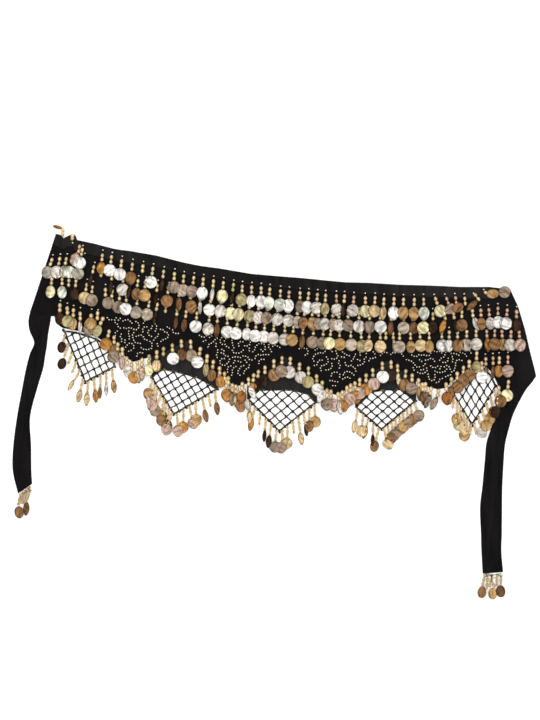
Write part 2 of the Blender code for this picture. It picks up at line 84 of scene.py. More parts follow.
# ---- hip panel: a row for each straight cut from the waist to the hem -------------------
# Between tie_seam and net_start the waist puckers over the root of a string, and the hem
# rounds the notch beside the left tie.
#   name        top_x   top_y   hem_x   hem_y
PANEL_CUTS = [
    ("left_end", -349.5, 285.0, -391.0, 160.0),
    ("", -342.5, 283.3, -374.0, 156.6),
    ("tie_seam", -337.0, 278.3, -357.0, 153.3),
    ("", -333.0, 280.0, -352.2, 153.4),
    ("", -327.5, 283.0, -350.0, 147.0),
    ("", -319.0, 283.8, -343.8, 137.5),
    ("net_start", -315.5, 275.0, -339.0, 134.5),
    ("", -289.0, 269.5, -313.0, 129.5),
    ("dip_0", -258.5, 261.5, -284.0, 120.0),
    ("", -244.0, 259.0, -260.0, 104.0),
    ("tip_1", -231.0, 257.5, -226.5, 80.0),
    ("", -188.0, 250.0, -179.6, 93.8),
    ("dip_1", -145.0, 239.0, -140.0, 114.0),
    ("", -117.5, 233.5, -105.7, 75.8),
    ("", -99.0, 231.1, -78.0, 49.0),
    ("tip_2", -87.0, 229.5, -60.0, 41.5),
    ("", -71.4, 226.8, -46.0, 44.5),
    ("", -37.5, 221.0, -15.5, 62.4),
    ("dip_2", 2.5, 217.5, 18.5, 87.5),
    ("", 41.0, 214.5, 53.4, 54.8),
    ("", 64.5, 212.2, 79.0, 35.0),
    ("tip_3", 81.0, 210.5, 97.0, 27.5),
    ("", 95.6, 209.1, 118.0, 36.5),
    ("", 113.0, 207.5, 143.1, 51.0),
    ("dip_3", 153.0, 206.5, 180.0, 81.0),
    ("", 201.0, 203.5, 217.3, 55.7),
    ("", 222.3, 203.0, 240.0, 41.5),
    ("tip_4", 241.0, 202.5, 260.0, 36.5),
    ("", 249.3, 202.2, 272.0, 38.0),
    ("", 266.5, 201.5, 297.0, 58.5),
    ("dip_4", 297.0, 200.0, 324.0, 76.8),
    ("casing_end", 345.0, 200.0, 338.5, 72.0),
    ("end_slope", 377.0, 196.0, 348.0, 63.0),
    ("", 389.5, 169.5, 356.0, 46.5),
    ("side_seam", 401.0, 131.0, 361.5, 31.5),
    ("", 409.0, 96.0, 378.5, 37.0),
    ("", 416.0, 69.0, 396.0, 43.0),
    ("right_end", 418.5, 57.0, 412.8, 49.5),
]

# ---- satin arches: (x, y) along the lower edge of each ----------------------------------
ARCH_EDGES = {
    1: [
        (-197.5, 56.0), (-181.5, 71.0), (-157.5, 66.5), (-122.5, 57.0), (-101.5, 45.0),
        (-90.5, 37.0),
    ],
    2: [(-44.0, 21.0), (-25.0, 37.0), (2.5, 37.5), (29.5, 37.0), (52.0, 31.0), (68.0, 16.0)],
    3: [(129.0, 8.0), (154.5, 34.5), (178.5, 37.5), (202.5, 37.5), (226.5, 17.5)],
}

# ---- nets: the point they hang to, and the ends of their two lower edges ----------------
#   tip_x  tip_y  left_x  left_y  cells  right_x  right_y  cells
NETS = {
    1: (-303.0, 46.5, -338.5, 131.0, 7, -255.0, 72.0, 5),
    2: (-161.5, -5.0, -197.5, 56.0, 6, -90.5, 37.0, 7),
    3: (7.5, -32.0, -44.0, 21.0, 6, 68.0, 16.0, 6),
    4: (171.0, -29.0, 129.0, 8.0, 5, 226.5, 17.5, 6),
    5: (316.0, -22.5, 279.0, 38.5, 5, 355.0, 41.5, 6),
}
# (x, y) along the end nets' upper edges; the others hang from the arches.
NET_TOPS = {
    1: [(-313.0, 127.5), (-284.0, 117.5), (-262.0, 101.5), (-257.0, 97.0)],
    5: [(297.0, 56.0), (324.0, 74.0), (337.0, 70.0), (346.0, 60.0)],
}

# ---- ties: (left_x, left_y, right_x, right_y) of cuts across each strap, downwards ------
TIE_CUTS = {
    "left": [
        (-391.2, 159.5, -357.4, 152.8), (-393.7, 145.5, -359.2, 141.0),
        (-391.6, 129.5, -362.0, 125.0), (-384.6, 111.0, -364.0, 107.0),
        (-391.4, 93.0, -366.9, 89.5), (-398.1, 67.0, -370.3, 69.0), (-404.2, 35.0, -379.4, 38.5),
        (-412.0, -8.0, -391.0, -8.0), (-417.8, -53.0, -389.5, -53.0),
        (-418.8, -93.0, -389.1, -93.0), (-410.4, -130.5, -387.8, -115.0),
    ],
    "right": [
        (361.5, 30.5, 412.3, 48.0), (357.5, 13.0, 400.0, 32.0), (352.0, -9.5, 382.8, -1.5),
        (344.4, -32.0, 374.3, -29.0), (338.8, -51.0, 368.9, -52.0), (336.5, -77.0, 366.7, -77.0),
        (332.6, -118.5, 364.5, -118.5), (328.9, -153.0, 364.0, -153.0),
        (330.3, -195.0, 363.6, -195.0), (331.1, -224.0, 363.0, -224.0),
        (333.0, -258.5, 365.7, -256.0),
    ],
}

# ---- creases pressed or pulled into the cloth -------------------------------------------
# Each is (x0, y0, x1, y1, half width, height), a soft ridge, or a trough where height is < 0.
CREASES = {
    "hip_panel": [
        (388.0, 128.0, 402.0, 62.0, 5.0, 1.1), (378.0, 96.0, 398.0, 50.0, 4.0, -0.9),
        (372.0, 70.0, 412.0, 56.0, 3.5, 1.0), (398.0, 118.0, 412.0, 78.0, 3.0, 0.8),
        (366.0, 48.0, 405.0, 46.0, 3.0, -0.8), (-384.0, 176.0, -352.0, 214.0, 5.0, 0.8),
        (-380.0, 158.0, -362.0, 205.0, 4.0, -0.8), (-366.0, 240.0, -345.0, 268.0, 5.0, 0.6),
        (-120.0, 205.0, -40.0, 196.0, 7.0, 0.5), (60.0, 186.0, 150.0, 182.0, 7.0, -0.5),
        (340.0, 180.0, 392.0, 150.0, 6.0, 0.6),
    ],
    "waist_casing": [
        (-300.0, 265.0, -240.0, 250.0, 4.0, 0.4), (-130.0, 229.0, -60.0, 216.0, 4.0, 0.35),
        (30.0, 205.0, 95.0, 201.0, 4.0, -0.35), (215.0, 195.0, 300.0, 192.0, 4.0, 0.4),
    ],
    "satin_arch_1": [
        (-176.0, 90.0, -110.0, 62.0, 6.0, 0.9), (-150.0, 104.0, -128.0, 64.0, 5.0, -0.6),
    ],
    "satin_arch_2": [(-22.0, 52.0, 40.0, 46.0, 6.0, 0.8), (12.0, 86.0, 22.0, 42.0, 5.0, -0.6)],
    "satin_arch_3": [(158.0, 52.0, 212.0, 42.0, 5.0, 0.8), (176.0, 80.0, 184.0, 42.0, 5.0, -0.6)],
    "tie_left": [
        (-391.0, 146.0, -361.0, 157.0, 3.0, -0.9), (-387.0, 150.0, -372.0, 100.0, 3.5, 1.2),
        (-372.0, 128.0, -384.0, 90.0, 2.5, -0.8), (-380.0, 104.0, -397.0, 20.0, 3.5, 1.3),
        (-376.0, 78.0, -386.0, 30.0, 2.5, 0.7), (-398.0, 40.0, -405.0, -40.0, 3.0, -0.9),
        (-396.0, 0.0, -402.0, -100.0, 4.0, 1.2), (-411.0, -30.0, -410.0, -110.0, 3.0, 1.0),
        (-412.0, -70.0, -395.0, -84.0, 2.5, 0.5),
    ],
    "tie_right": [
        (405.0, 42.0, 362.0, -6.0, 4.5, 1.3), (376.0, 34.0, 357.0, -30.0, 3.5, -1.0),
        (392.0, 26.0, 366.0, -44.0, 3.0, 1.0), (362.0, -66.0, 351.0, -134.0, 3.5, 1.6),
        (352.0, -130.0, 343.0, -210.0, 3.5, 1.5), (344.0, -204.0, 339.0, -250.0, 3.0, 1.3),
        (346.0, -60.0, 342.0, -126.0, 3.0, -0.9), (340.0, -140.0, 352.0, -146.0, 2.0, 0.8),
        (355.0, -134.0, 362.0, -142.0, 2.0, 0.7), (357.0, -150.0, 354.0, -236.0, 3.0, 0.9),
        (350.0, -220.0, 362.0, -240.0, 2.5, 0.6),
    ],
}

# ---- seams that the coin rows hang from: (x, y), left to right --------------------------
ROW_SEAMS = {
    "a_end": [(-356.0, 251.0), (-330.0, 253.5)],
    "a": [
        (-312.0, 266.5), (-273.0, 259.0), (-226.5, 244.5), (-145.0, 225.0), (-81.0, 214.0),
        (-36.0, 207.0), (41.0, 197.5), (127.0, 191.0), (201.0, 188.0), (271.0, 188.5),
        (322.0, 190.0),
    ],
    "b": [
        (-300.0, 244.0), (-258.5, 228.0), (-191.0, 212.5), (-145.0, 200.5), (-36.0, 182.5),
        (41.0, 173.0), (127.0, 166.5), (201.0, 163.5), (271.0, 165.0), (329.0, 170.5),
        (361.0, 173.0), (392.0, 168.0),
    ],
    "c": [
        (-361.0, 222.0), (-316.0, 218.0), (-290.5, 209.5), (-261.5, 201.0), (-191.0, 182.0),
        (-145.0, 170.0), (-81.0, 159.0), (-36.0, 152.0), (41.0, 142.5), (127.0, 136.0),
        (201.0, 133.5), (271.0, 135.5), (329.0, 138.0), (392.0, 136.5),
    ],
    "d": [(333.0, 93.0), (375.0, 95.0)],
}

# ---- where the hem's strings are sewn on: a line a little up from the hem ---------------
#   name        x       y
HEM_SEAMS = [
    ("net_start", -343.0, 178.5),
    ("", -313.0, 167.3),
    ("dip_0", -282.5, 163.5),
    ("", -253.5, 124.0),
    ("tip_1", -226.5, 83.5),
    ("", -183.0, 106.0),
    ("dip_1", -140.0, 125.0),
    ("", -100.0, 91.5),
    ("tip_2", -60.0, 46.5),
    ("", -20.0, 76.5),
    ("dip_2", 18.5, 98.0),
    ("", 60.0, 72.5),
    ("tip_3", 97.0, 34.0),
    ("", 138.5, 61.0),
    ("dip_3", 180.0, 91.5),
    ("", 221.5, 66.0),
    ("tip_4", 260.0, 39.5),
    ("", 293.5, 70.5),
    ("dip_4", 324.0, 102.5),
    ("", 338.5, 83.5),
    ("end_slope", 348.0, 66.5),
    ("", 356.0, 50.0),
    ("side_seam", 361.5, 35.0),
]

# ---- what hangs where -------------------------------------------------------------------
# Each string is written as its place along the seam in millimetres, a colon, and letters:
# the coin's shape (R round, O oval, T pointed, L leaf, E seen nearly edge-on, C crumpled,
# N none), its metal (COIN_TONES) and, where they aren't pale gold, its beads (BEAD_TONES).
# Strings that don't hang straight add the string's lean, its coin's lean and its length as a
# part of the usual one, with colons between. One sewn on off the seam has its height after its
# place, with a slash.
#   piece           seam     base       coin_level  strings
ROWS = [
    ("coin_row_a_end", "a_end", ON_PANEL, 8.0, """
        -354:Rs:-12 -342:Rv:-12 -331:Os:-12 -316:Re:-15:-26:1.4 -303:Rs:-8:-30:1.7"""),
    ("coin_row_a", "a", ON_CASING, 9.4, """
        -311:Opp:-6:-22:0.3 -306:Rw:-3:-3:0.85 -274:On -259:Rw -243:Rw -226:Tk -209:N-c -193:Rw
        -176:Ed -159:Rt -144:Cg -128:Rt -113:Tw -97:Ev -81:Ty -65:Edo -51:Co -36:Ow -21:Tw -7:Te
        10:Ce 24:Twp 41:Ot 55:Tw 69:Cv 82:Oo:-2 99:Cvp 112:Ed 127:Rvp 145:Ry 161:Cc 175:Lc
        191:Tw 206:Ta 223:Ta 238:Te 255:Ry:17:22:0.9 272:N-p:22 288:Opp:8:-48 303:Ok:6:-62
        318:Lk:38:-45:0.55"""),
    ("coin_row_b", "b", ON_PANEL, 8.6, """
        -287:Ed:-4:-8 -274:N-c -258:Ed -241:Rv -228:Ed -217:Ok -205:Ra -186:Ed -168:Rk -151:Lk
        -134:Tk -118:Ev -100:Rw -84:Cv -67:Ry -54:Ty -40:Ro -25:Cv -10:Ct 6:Cv 23:Rv
        37:Og 49:Ok 60:Ta 71:Ot 82:Cv 93:Ot 103:Cv 118:Rt 135:Rv 152:Ct 169:Rw 187:Lb
        206:Rg 220:Ob 238:Ry 253:Odo 271:Ln:2:-24 285:Ed 299:Rk 315:Lv:4:18 329:Okp 342:Ovp
        357:Rwp 372:Rwp 387:Odp"""),
    ("coin_row_c", "c", ON_PANEL, 7.8, """
        -355:Oy -339:Oe -328:N-c -316:Od -299:Rc:2:4:1.1 -290:Rt:4:10:1.1 -270:Rt:8:28:1.1 -258:N-c
        -246:Rt -235:Rw -218:Cg
        -199:Cg -186:Ed -172:N-c -154:Eb -140:Lb -123:Rw -103:Cv -90:Lb -75:Rw -58:Rw
        -42:Ow -29:Rw -15:Cw 0:Cv 17:Rv 31:Ra 46:Lkp 63:Rt 79:Ct 91:Cy 104:Ra 122:Rg
        138:Ro 152:Oc 169:Cc 178:N-o 189:Ey 200:Rg 217:Oa 232:Rc 247:Oa 267:Rw 279:Ow
        292:Rk 307:Cg 322:Rv 339:Lnp 352:Rkp 363:Oap 378:Cvp 390:Cpp"""),
    ("coin_row_d", "d", ON_PANEL, 7.4, "337:Ekp 349:Ebp 359:On 373:Cpp"),
]
# Strings along the hem, by the stretch of HEM_SEAMS that they hang from.
#   piece           from        to        coin_level  strings
HEM_RUNS = [
    ("hem_fringe_1", "net_start", "dip_0", 8.2, """
        -342:Od -331:Ro -321:Oa -310:Ev:0:0:1.2 -292:Tt:-4:-12:1.3 -282:Ca:0:-45:0.7"""),
    ("hem_fringe_2", "dip_0", "tip_1", 7.0, """
        -271/156:Oo:-22 -263:Rn:-6 -256:Tk -250:Rt:0:-22:1.3 -243:Lp -237:Ov:6:6:1.6
        -228:Rn:2:22:1.2"""),
    ("hem_fringe_3", "tip_1", "dip_1", 8.4, """
        -220:Lc:6 -211:Lp -200:Oyo -188:Oc -177:N-o -163:Rwo -149:Ob"""),
    ("hem_fringe_4", "dip_1", "tip_2", 7.0, """
        -134:Ct -118:Rw:-4:-4:0.7 -107:Lo:-4 -97:Ok:-6 -88:On -80:N-c -77:Tn:0:3:2
        -74:Lp:0:36 -68:Lt:2:0:1.6 -62:Lc"""),
    ("hem_fringe_5", "tip_2", "dip_2", 8.4, """
        -58:Ok:2:8:2.1 -51:Ou -49:Lv:4:16:2.5 -42:Lw:4:22 -33:On -25:Ed -15:Ld -1:Rk:0:0:0.8
        12:Rt"""),
    ("hem_fringe_6", "dip_2", "tip_3", 7.0, """
        26:Cv:-2 40:Cv:2:14 54:Ro:0:-4:0.8 67:Cwo 77:Lwo:-3:-12 84:Ct:2:0:1.6 90:Tp:4:14"""),
    ("hem_fringe_7", "tip_3", "dip_3", 8.4, """
        101:Lv:4 108:On:4:8:1.2 116:Ta 122:Cp 128:Tn:4 136:Rp 146:Rn 157:Rp 172:Rw"""),
    ("hem_fringe_8", "dip_3", "tip_4", 7.0, """
        186:Td 196:Ey:4 210:Ck 220:Ct 230:La:2:2:1.15 236:Lk:4:4:1.5 241:Ct 251:Lt:-6:-20"""),
    ("hem_fringe_9", "tip_4", "dip_4", 8.4, """
        263:Lt:-8:-26 274:Tu 283:Lk 292:Rk 302:Rk 311:Rk 323:Oo 331/84:Cw:0:0:0.8"""),
    ("hem_fringe_10", "end_slope", "side_seam", 7.2, "356/30:Od:0:-8 358/47:Rk 374/56:Ry"),
]
# Strings along the nets' lower edges, evenly spaced from left to right. One whose chain isn't
# as long as its neighbours' has its own length after a colon.
#   net  side   lean   level  chain  strings
NET_RUNS = [
    (1, "left", -30.0, 1.8, 18.0, "Od:10.6 Od:24 N- N- Ec Lc"),
    (1, "right", 8.0, 1.8, 18.0, "Lc Ln Ek Ev La"),
    (2, "left", -30.0, 2.2, 18.0, "Ca:13 Cp:16 Cp Ct Ck Rk Cb Cp"),
    (2, "right", 12.0, 1.8, 18.0, "Cp Cn Cp Ca Lk N- Lk"),
    (3, "left", -16.0, 1.8, 18.0, "Lc:14 Ln N- Ed Ld Rt"),
    (3, "right", 14.0, 1.8, 18.0, "Ct Cc N- Lc:24 Ed Ok Ra"),
    (4, "left", -18.0, 1.8, 17.0, "Lc Rc La:12 Ed:17 Ok:20"),
    (4, "right", 30.0, 2.4, 11.5, "Cc:15 Rk Ra Rt Rk Ra Rt Rk Ct"),
    (5, "left", -8.0, 1.8, 18.0, "N- N- Ca Cy Cc Ca N-"),
    (5, "right", 24.0, 3.8, 16.0, "N- Cv Ra Ra Rn N-"),
]

# The strings over the waist's corners, part by part from the root: kind and place; a bead's or
# a coin's lean in degrees; a coin's width and look.
CORNER_STRINGS = {
    "left": [
        [("seed", -336.3, 278.8, 4.6), ("bead", -338.4, 284.5, 6.3, 170.0),
         ("bead", -338.2, 290.6, 5.6, 200.0), ("coin", -346.6, 295.5, 4.4, 256.0, 15.5, "En")],
        [("seed", -322.5, 270.6, 4.6), ("bead", -322.9, 277.2, 6.4, 180.0),
         ("bead", -322.6, 281.6, 6.4, 180.0)],
    ],
    "right": [
        [("seed", 334.2, 195.7, 4.6), ("bead", 337.3, 190.6, 6.2, 60.0),
         ("coin", 348.5, 189.0, 6.6, 95.0, 20.0, "Oa"),
         ("coin", 367.5, 191.7, 5.4, 90.0, 19.0, "Rt")],
    ],
}

# Tassels of the ties. Each has strands of small beads (from_x, from_y, to_x, to_y) from its
# tie's end, and coins (x, y, lean, width, look) below them.
TASSEL_STRANDS = {
    "left": [
        (-406.4, -132.0, -410.4, -150.4), (-401.6, -127.2, -405.6, -148.8),
        (-396.0, -123.2, -401.6, -148.0), (-392.0, -120.0, -396.0, -144.0),
        (-390.4, -124.8, -399.2, -145.6),
    ],
    "right": [
        (336.0, -259.2, 332.0, -280.0), (340.8, -259.2, 339.2, -284.8),
        (348.0, -260.8, 343.2, -281.6), (346.4, -268.8, 352.8, -281.6),
        (356.0, -260.8, 355.2, -278.4), (362.4, -260.8, 361.6, -276.8),
    ],
}
TASSEL_COINS = {
    "left": [(-408.3, -160.2, 8.0, 19.5, "Ok"), (-396.8, -154.0, -2.0, 19.5, "Lb")],
    "right": [
        (331.7, -288.0, -8.0, 19.0, "Ok"), (348.6, -290.2, 0.0, 18.5, "Oa"),
        (361.4, -286.4, 6.0, 19.5, "Ob"),
    ],
}

# Outlines of the beaded ground on each triangle, left to right round from the upper left.
SEED_ZONES = {
    1: [(-273, 156), (-199, 145), (-147, 129), (-175, 110), (-199, 97), (-222, 86), (-235, 93),
        (-250, 115), (-263, 136)],
    2: [(-136, 126), (-63, 121), (13, 105), (-14, 86), (-36, 69), (-61, 53), (-78, 66),
        (-98, 91), (-114, 110)],
    3: [(33, 106), (113, 100), (200, 95), (157, 84), (143, 70), (115, 50), (96, 38),
        (70, 66), (47, 91)],
    4: [(200, 93), (273, 99), (322, 98), (302, 82), (284, 60), (262, 46), (244, 52),
        (220, 68), (205, 82)],
}
CURLED_TRIANGLE = 3      # its lines of seed beads curl further apart than the others

# ---- finishes: sRGB colours -------------------------------------------------------------
COIN_TONES = {
    "w": "#ece7de", "v": "#ccc3b7", "g": "#b0a18e", "t": "#93806d", "o": "#a6986f",
    "y": "#dfd3a6", "c": "#cfb488", "a": "#b08c5c", "k": "#896644", "n": "#b07c42",
    "p": "#bda08e", "d": "#3a2a20", "b": "#6d4d34", "e": "#d5d5c2", "s": "#a09987",
    "u": "#966133",
}
BEAD_TONES = {"c": "#f0d6a4", "o": "#dccb8c", "p": "#e2b896", "g": "#d8c19a"}
BEAD_POLISH = 0.3
SEED_POLISH = 0.2
THREAD_POLISH = 0.5


def linear(code):
    """Linear red, green and blue of an sRGB colour written as #rrggbb."""
    parts = [int(code[start:start + 2], 16) / 255 for start in (1, 3, 5)]
    return tuple(p / 12.92 if p <= 0.04045 else ((p + 0.055) / 1.055) ** 2.4 for p in parts)


def toned(colour, polish=0.5):
    """Tone of a part. What polish does is up to its material: the satin's gloss, the
    coins' roughness, and nothing on beads and thread."""
    return (*colour, polish)


# ---- meshes -----------------------------------------------------------------------------
WHITE = (1.0, 1.0, 1.0, 0.5)
SOFT_TURN = 50.0         # degrees over which an edge stays sharp


class Pile:
    """Many small parts gathered into one mesh: points in millimetres, faces, and for each
    point its tone (red, green, blue, polish) and its flat place for patterns."""

    def __init__(self):
        self.points = []
        self.faces = []
        self.tones = []
        self.flats = []
        self.slots = []
        self.count = 0

    def add(self, points, faces, tone=WHITE, flat=None, slot=0):
        points = np.asarray(points, float)
        self.points.append(points)
        self.faces += [[self.count + corner for corner in face] for face in faces]
        self.tones.append(np.broadcast_to(np.asarray(tone, float), (len(points), 4)))
        self.flats.append(points[:, :2] if flat is None else np.asarray(flat, float))
        self.slots += [slot] * len(faces)
        self.count += len(points)

    def piece(self, name, finishes, look_slot, node=None, sharp=SOFT_TURN):
        """The finished object, in metres, on the root body, in place of a node's solid."""
        mesh = bpy.data.meshes.new(name)
        points = (np.concatenate(self.points) + np.array(SHIFT)) * MM
        mesh.from_pydata(points.tolist(), [], self.faces)
        tone = mesh.attributes.new("tone", "FLOAT_COLOR", "POINT")
        tone.data.foreach_set("color", np.concatenate(self.tones).astype(np.float32).ravel())
        corners = np.zeros(len(mesh.loops), np.int32)
        mesh.loops.foreach_get("vertex_index", corners)
        flats = np.concatenate(self.flats)[corners]
        mesh.uv_layers.new(name="UVMap").data.foreach_set("uv", flats.astype(np.float32).ravel())
        for finish in finishes:
            mesh.materials.append(finish)
        mesh.polygons.foreach_set("material_index", np.array(self.slots, np.int32))
        mesh.shade_smooth()
        mesh.set_sharp_from_angle(angle=math.radians(sharp))
        mesh.validate()
        obj = bpy.data.objects.new(name, mesh)
        bpy.context.scene.collection.objects.link(obj)
        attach(obj, "root")
        if node:
            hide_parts(node)
        return obj


def wall(rings, sides, turned_in=False):
    """Four-sided faces between neighbouring rings of points."""
    faces = []
    for ring in range(rings - 1):
        for side in range(sides):
            here, there = ring * sides + side, ring * sides + (side + 1) % sides
            faces.append([here, there, there + sides, here + sides] if turned_in
                         else [here, here + sides, there + sides, there])
    return faces


def turned(profile, sides):
    """Points and faces of a closed turned body on the Y axis, from (y, radius) rows."""
    points = []
    for y, radius in profile:
        for side in range(sides):
            turn = 2 * math.pi * side / sides
            points.append((radius * math.cos(turn), y, -radius * math.sin(turn)))
    ends = [list(range(sides))[::-1],
            [(len(profile) - 1) * sides + side for side in range(sides)]]
    return np.array(points), ends + wall(len(profile), sides, turned_in=True)


def tube(path, radii, sides):
    """Points, faces and flat places of a closed tube along a path; radii give its half width
    at each point. A flat place is (millimetres along the tube, part of the way round)."""
    path = np.asarray(path, float)
    ahead = np.gradient(path, axis=0)
    ahead /= np.linalg.norm(ahead, axis=1)[:, None]
    side_way = np.cross(ahead, (0.0, 0.0, 1.0))
    lengths = np.linalg.norm(side_way, axis=1)
    side_way = np.where(lengths[:, None] > 0.2, side_way / np.maximum(lengths, 0.2)[:, None],
                        (1.0, 0.0, 0.0))
    up_way = np.cross(side_way, ahead)
    steps = np.linalg.norm(np.diff(path, axis=0), axis=1)
    run = np.concatenate([[0.0], np.cumsum(steps)])
    turns = 2 * math.pi * np.arange(sides) / sides
    ring = (np.cos(turns)[None, :, None] * side_way[:, None, :]
            + np.sin(turns)[None, :, None] * up_way[:, None, :])
    points = path[:, None, :] + ring * np.asarray(radii, float)[:, None, None]
    flat = np.stack(np.broadcast_arrays(run[:, None], np.arange(sides)[None, :] / sides), -1)
    ends = [list(range(sides)),
            [(len(path) - 1) * sides + side for side in range(sides)][::-1]]
    return points.reshape(-1, 3), ends + wall(len(path), sides), flat.reshape(-1, 2)


def shell(xs, ys, tops, low):
    """Points and faces of a closed slab over a grid, flat underneath at low.

    Grid rows run along X and columns run downwards, so its upper faces look up."""
    rows, columns = xs.shape
    top = np.stack([xs, ys, tops], -1).reshape(-1, 3)
    foot = np.stack([xs, ys, np.full_like(xs, low)], -1).reshape(-1, 3)
    under = rows * columns
    faces = []
    for row in range(rows - 1):
        for column in range(columns - 1):
            a = row * columns + column
            b, c, d = a + 1, a + columns + 1, a + columns
            faces.append([a, d, c, b])
            faces.append([under + a, under + b, under + c, under + d])
    last_row = (rows - 1) * columns
    for a in range(columns - 1):
        faces.append([a, a + 1, under + a + 1, under + a])
        faces.append([a + 1 + last_row, a + last_row, under + a + last_row,
                      under + a + 1 + last_row])
    for a in range(0, last_row, columns):
        b, last = a + columns, columns - 1
        faces.append([b, a, under + a, under + b])
        faces.append([a + last, b + last, under + b + last, under + a + last])
    return np.concatenate([top, foot]), faces


def height_on(path, xs):
    """Height at xs of a line through (x, y) points, left to right."""
    return np.interp(xs, [x for x, _ in path], [y for _, y in path])


def steps_along(marks, step):
    """Places 0 to len(marks) - 1 along a list of points, about step apart, with every mark."""
    places = []
    for index, (start, end) in enumerate(zip(marks, marks[1:])):
        count = max(1, round((Vector(end) - Vector(start)).length / step))
        places += [index + part / count for part in range(count)]
    return places + [len(marks) - 1]


def smooth_at(values, places):
    """Values of a column of numbers at fractional places, on a smooth curve through them."""
    values = np.asarray(values, float)
    slopes = np.gradient(values)
    places = np.asarray(places, float)
    index = np.clip(places.astype(int), 0, len(values) - 2)
    t = places - index
    a, b = values[index], values[index + 1]
    m, n = slopes[index], slopes[index + 1]
    return ((2 * t ** 3 - 3 * t ** 2 + 1) * a + (t ** 3 - 2 * t ** 2 + t) * m
            + (3 * t ** 2 - 2 * t ** 3) * b + (t ** 3 - t ** 2) * n)


def fade(values, start, width, most=1.0):
    """0 before start, and from there up to most in step with the width."""
    return np.clip((values - start) / width, 0.0, most)


def rounded(distance, radius):
    """Part of the full height, 0 to 1, at a distance in from a rounded edge."""
    part = np.clip(distance / radius, 0.0, 1.0)
    return np.sqrt(1.0 - (1.0 - part) ** 2)


def creased(piece, xs, ys):
    """Height that the table's creases add to a piece at each point."""
    height = np.zeros_like(xs)
    for x0, y0, x1, y1, half_width, rise in CREASES[piece]:
        run_x, run_y = x1 - x0, y1 - y0
        length = math.hypot(run_x, run_y)
        part = ((xs - x0) * run_x + (ys - y0) * run_y) / length ** 2
        sway = 0.25 * half_width * np.sin(5.0 * part + x0)
        off = ((xs - x0) * run_y - (ys - y0) * run_x) / length + sway
        ends = np.sin(math.pi * np.clip(part, 0.0, 1.0)) ** 0.7
        height += rise * ends * np.exp(-(off / half_width) ** 2)
    return height


def rippled(xs, ys, seed, size, spacing):
    """Gentle unevenness of cloth that lies flat: a few long waves in odd directions."""
    rng = random.Random(seed)
    waves = 7
    height = np.zeros_like(xs)
    for _ in range(waves):
        turn = rng.uniform(0.0, 2 * math.pi)
        scale = 2 * math.pi / (spacing * rng.uniform(0.6, 1.7))
        phase = rng.uniform(0.0, 2 * math.pi)
        height += np.sin((xs * math.cos(turn) + ys * math.sin(turn)) * scale + phase)
    return size * height / waves


# ---- materials --------------------------------------------------------------------------
SQUARE = 30.0            # side of the unit square of flat places that each coin fills
SQUARES_ACROSS = 97      # after so many squares a new row of them begins
TWIST = 0.62             # scale of a slanted wave with one band to a unit of flat places


def add_node(tree, kind, inputs=None, **settings):
    """A new node with its settings; inputs maps its sockets to values, to outputs, or to
    nodes, whose first output is then meant."""
    made = tree.nodes.new(kind)
    for key, value in settings.items():
        setattr(made, key, value)
    for key, value in (inputs or {}).items():
        if isinstance(value, bpy.types.Node):
            value = value.outputs[0]
        if isinstance(value, bpy.types.NodeSocket):
            tree.links.new(value, made.inputs[key])
        else:
            made.inputs[key].default_value = value
    return made


def new_material(name, constants, build):
    """A Principled material made once: constants go on the shader's own sockets, and build
    returns what feeds the others."""
    material = bpy.data.materials.get(name)
    if material:
        return material
    material = bpy.data.materials.new(name)
    material.use_nodes = True
    tree = material.node_tree
    shader = tree.nodes["Principled BSDF"]
    for socket, value in constants.items():
        shader.inputs[socket].default_value = value
    for socket, output in build(tree).items():
        tree.links.new(output, shader.inputs[socket])
    return material


def wave_scale(spacing):
    """Scale of a wave texture whose bands lie that many millimetres apart."""
    return math.pi / 10 / (spacing * MM)


def patch_scale(size):
    """Scale of a noise texture whose patches are about that many millimetres wide."""
    return 1 / (size * MM)


def black_crepe():
    """Matt polyester crepe over stiffening: a dry black with a fine grain and no sheen line.
    Its threads lie 0.4 mm apart and are drawn 1.3 mm apart, so that they show."""
    def build(tree):
        place = add_node(tree, "ShaderNodeTexCoord").outputs["Object"]
        warp, weft = (add_node(tree, "ShaderNodeTexWave", {
            "Vector": place, "Scale": wave_scale(1.309), "Distortion": 1.5, "Detail": 1.0},
            bands_direction=way).outputs["Fac"] for way in ("X", "Y"))
        weave = add_node(tree, "ShaderNodeMath", {0: warp, 1: weft}, operation="ADD")
        bump = add_node(tree, "ShaderNodeBump", {
            "Strength": 0.5, "Distance": 0.3 * MM, "Height": weave})
        cloud = add_node(tree, "ShaderNodeTexNoise", {
            "Vector": place, "Scale": patch_scale(45.45), "Detail": 4.0}).outputs["Fac"]
        depth = add_node(tree, "ShaderNodeMapRange", {
            "Value": cloud, "From Min": 0.3, "From Max": 0.7, "To Min": 0.75, "To Max": 1.2})
        tone = add_node(tree, "ShaderNodeAttribute", attribute_name="tone")
        shade = add_node(tree, "ShaderNodeVectorMath", {
            0: tone.outputs["Color"], "Scale": depth}, operation="SCALE")
        return {"Base Color": shade.outputs[0], "Normal": bump.outputs[0]}
    return new_material("black_polyester_crepe", {
        "Roughness": 0.8, "Specular IOR Level": 0.14, "Sheen Weight": 0.02,
        "Sheen Roughness": 0.5}, build)


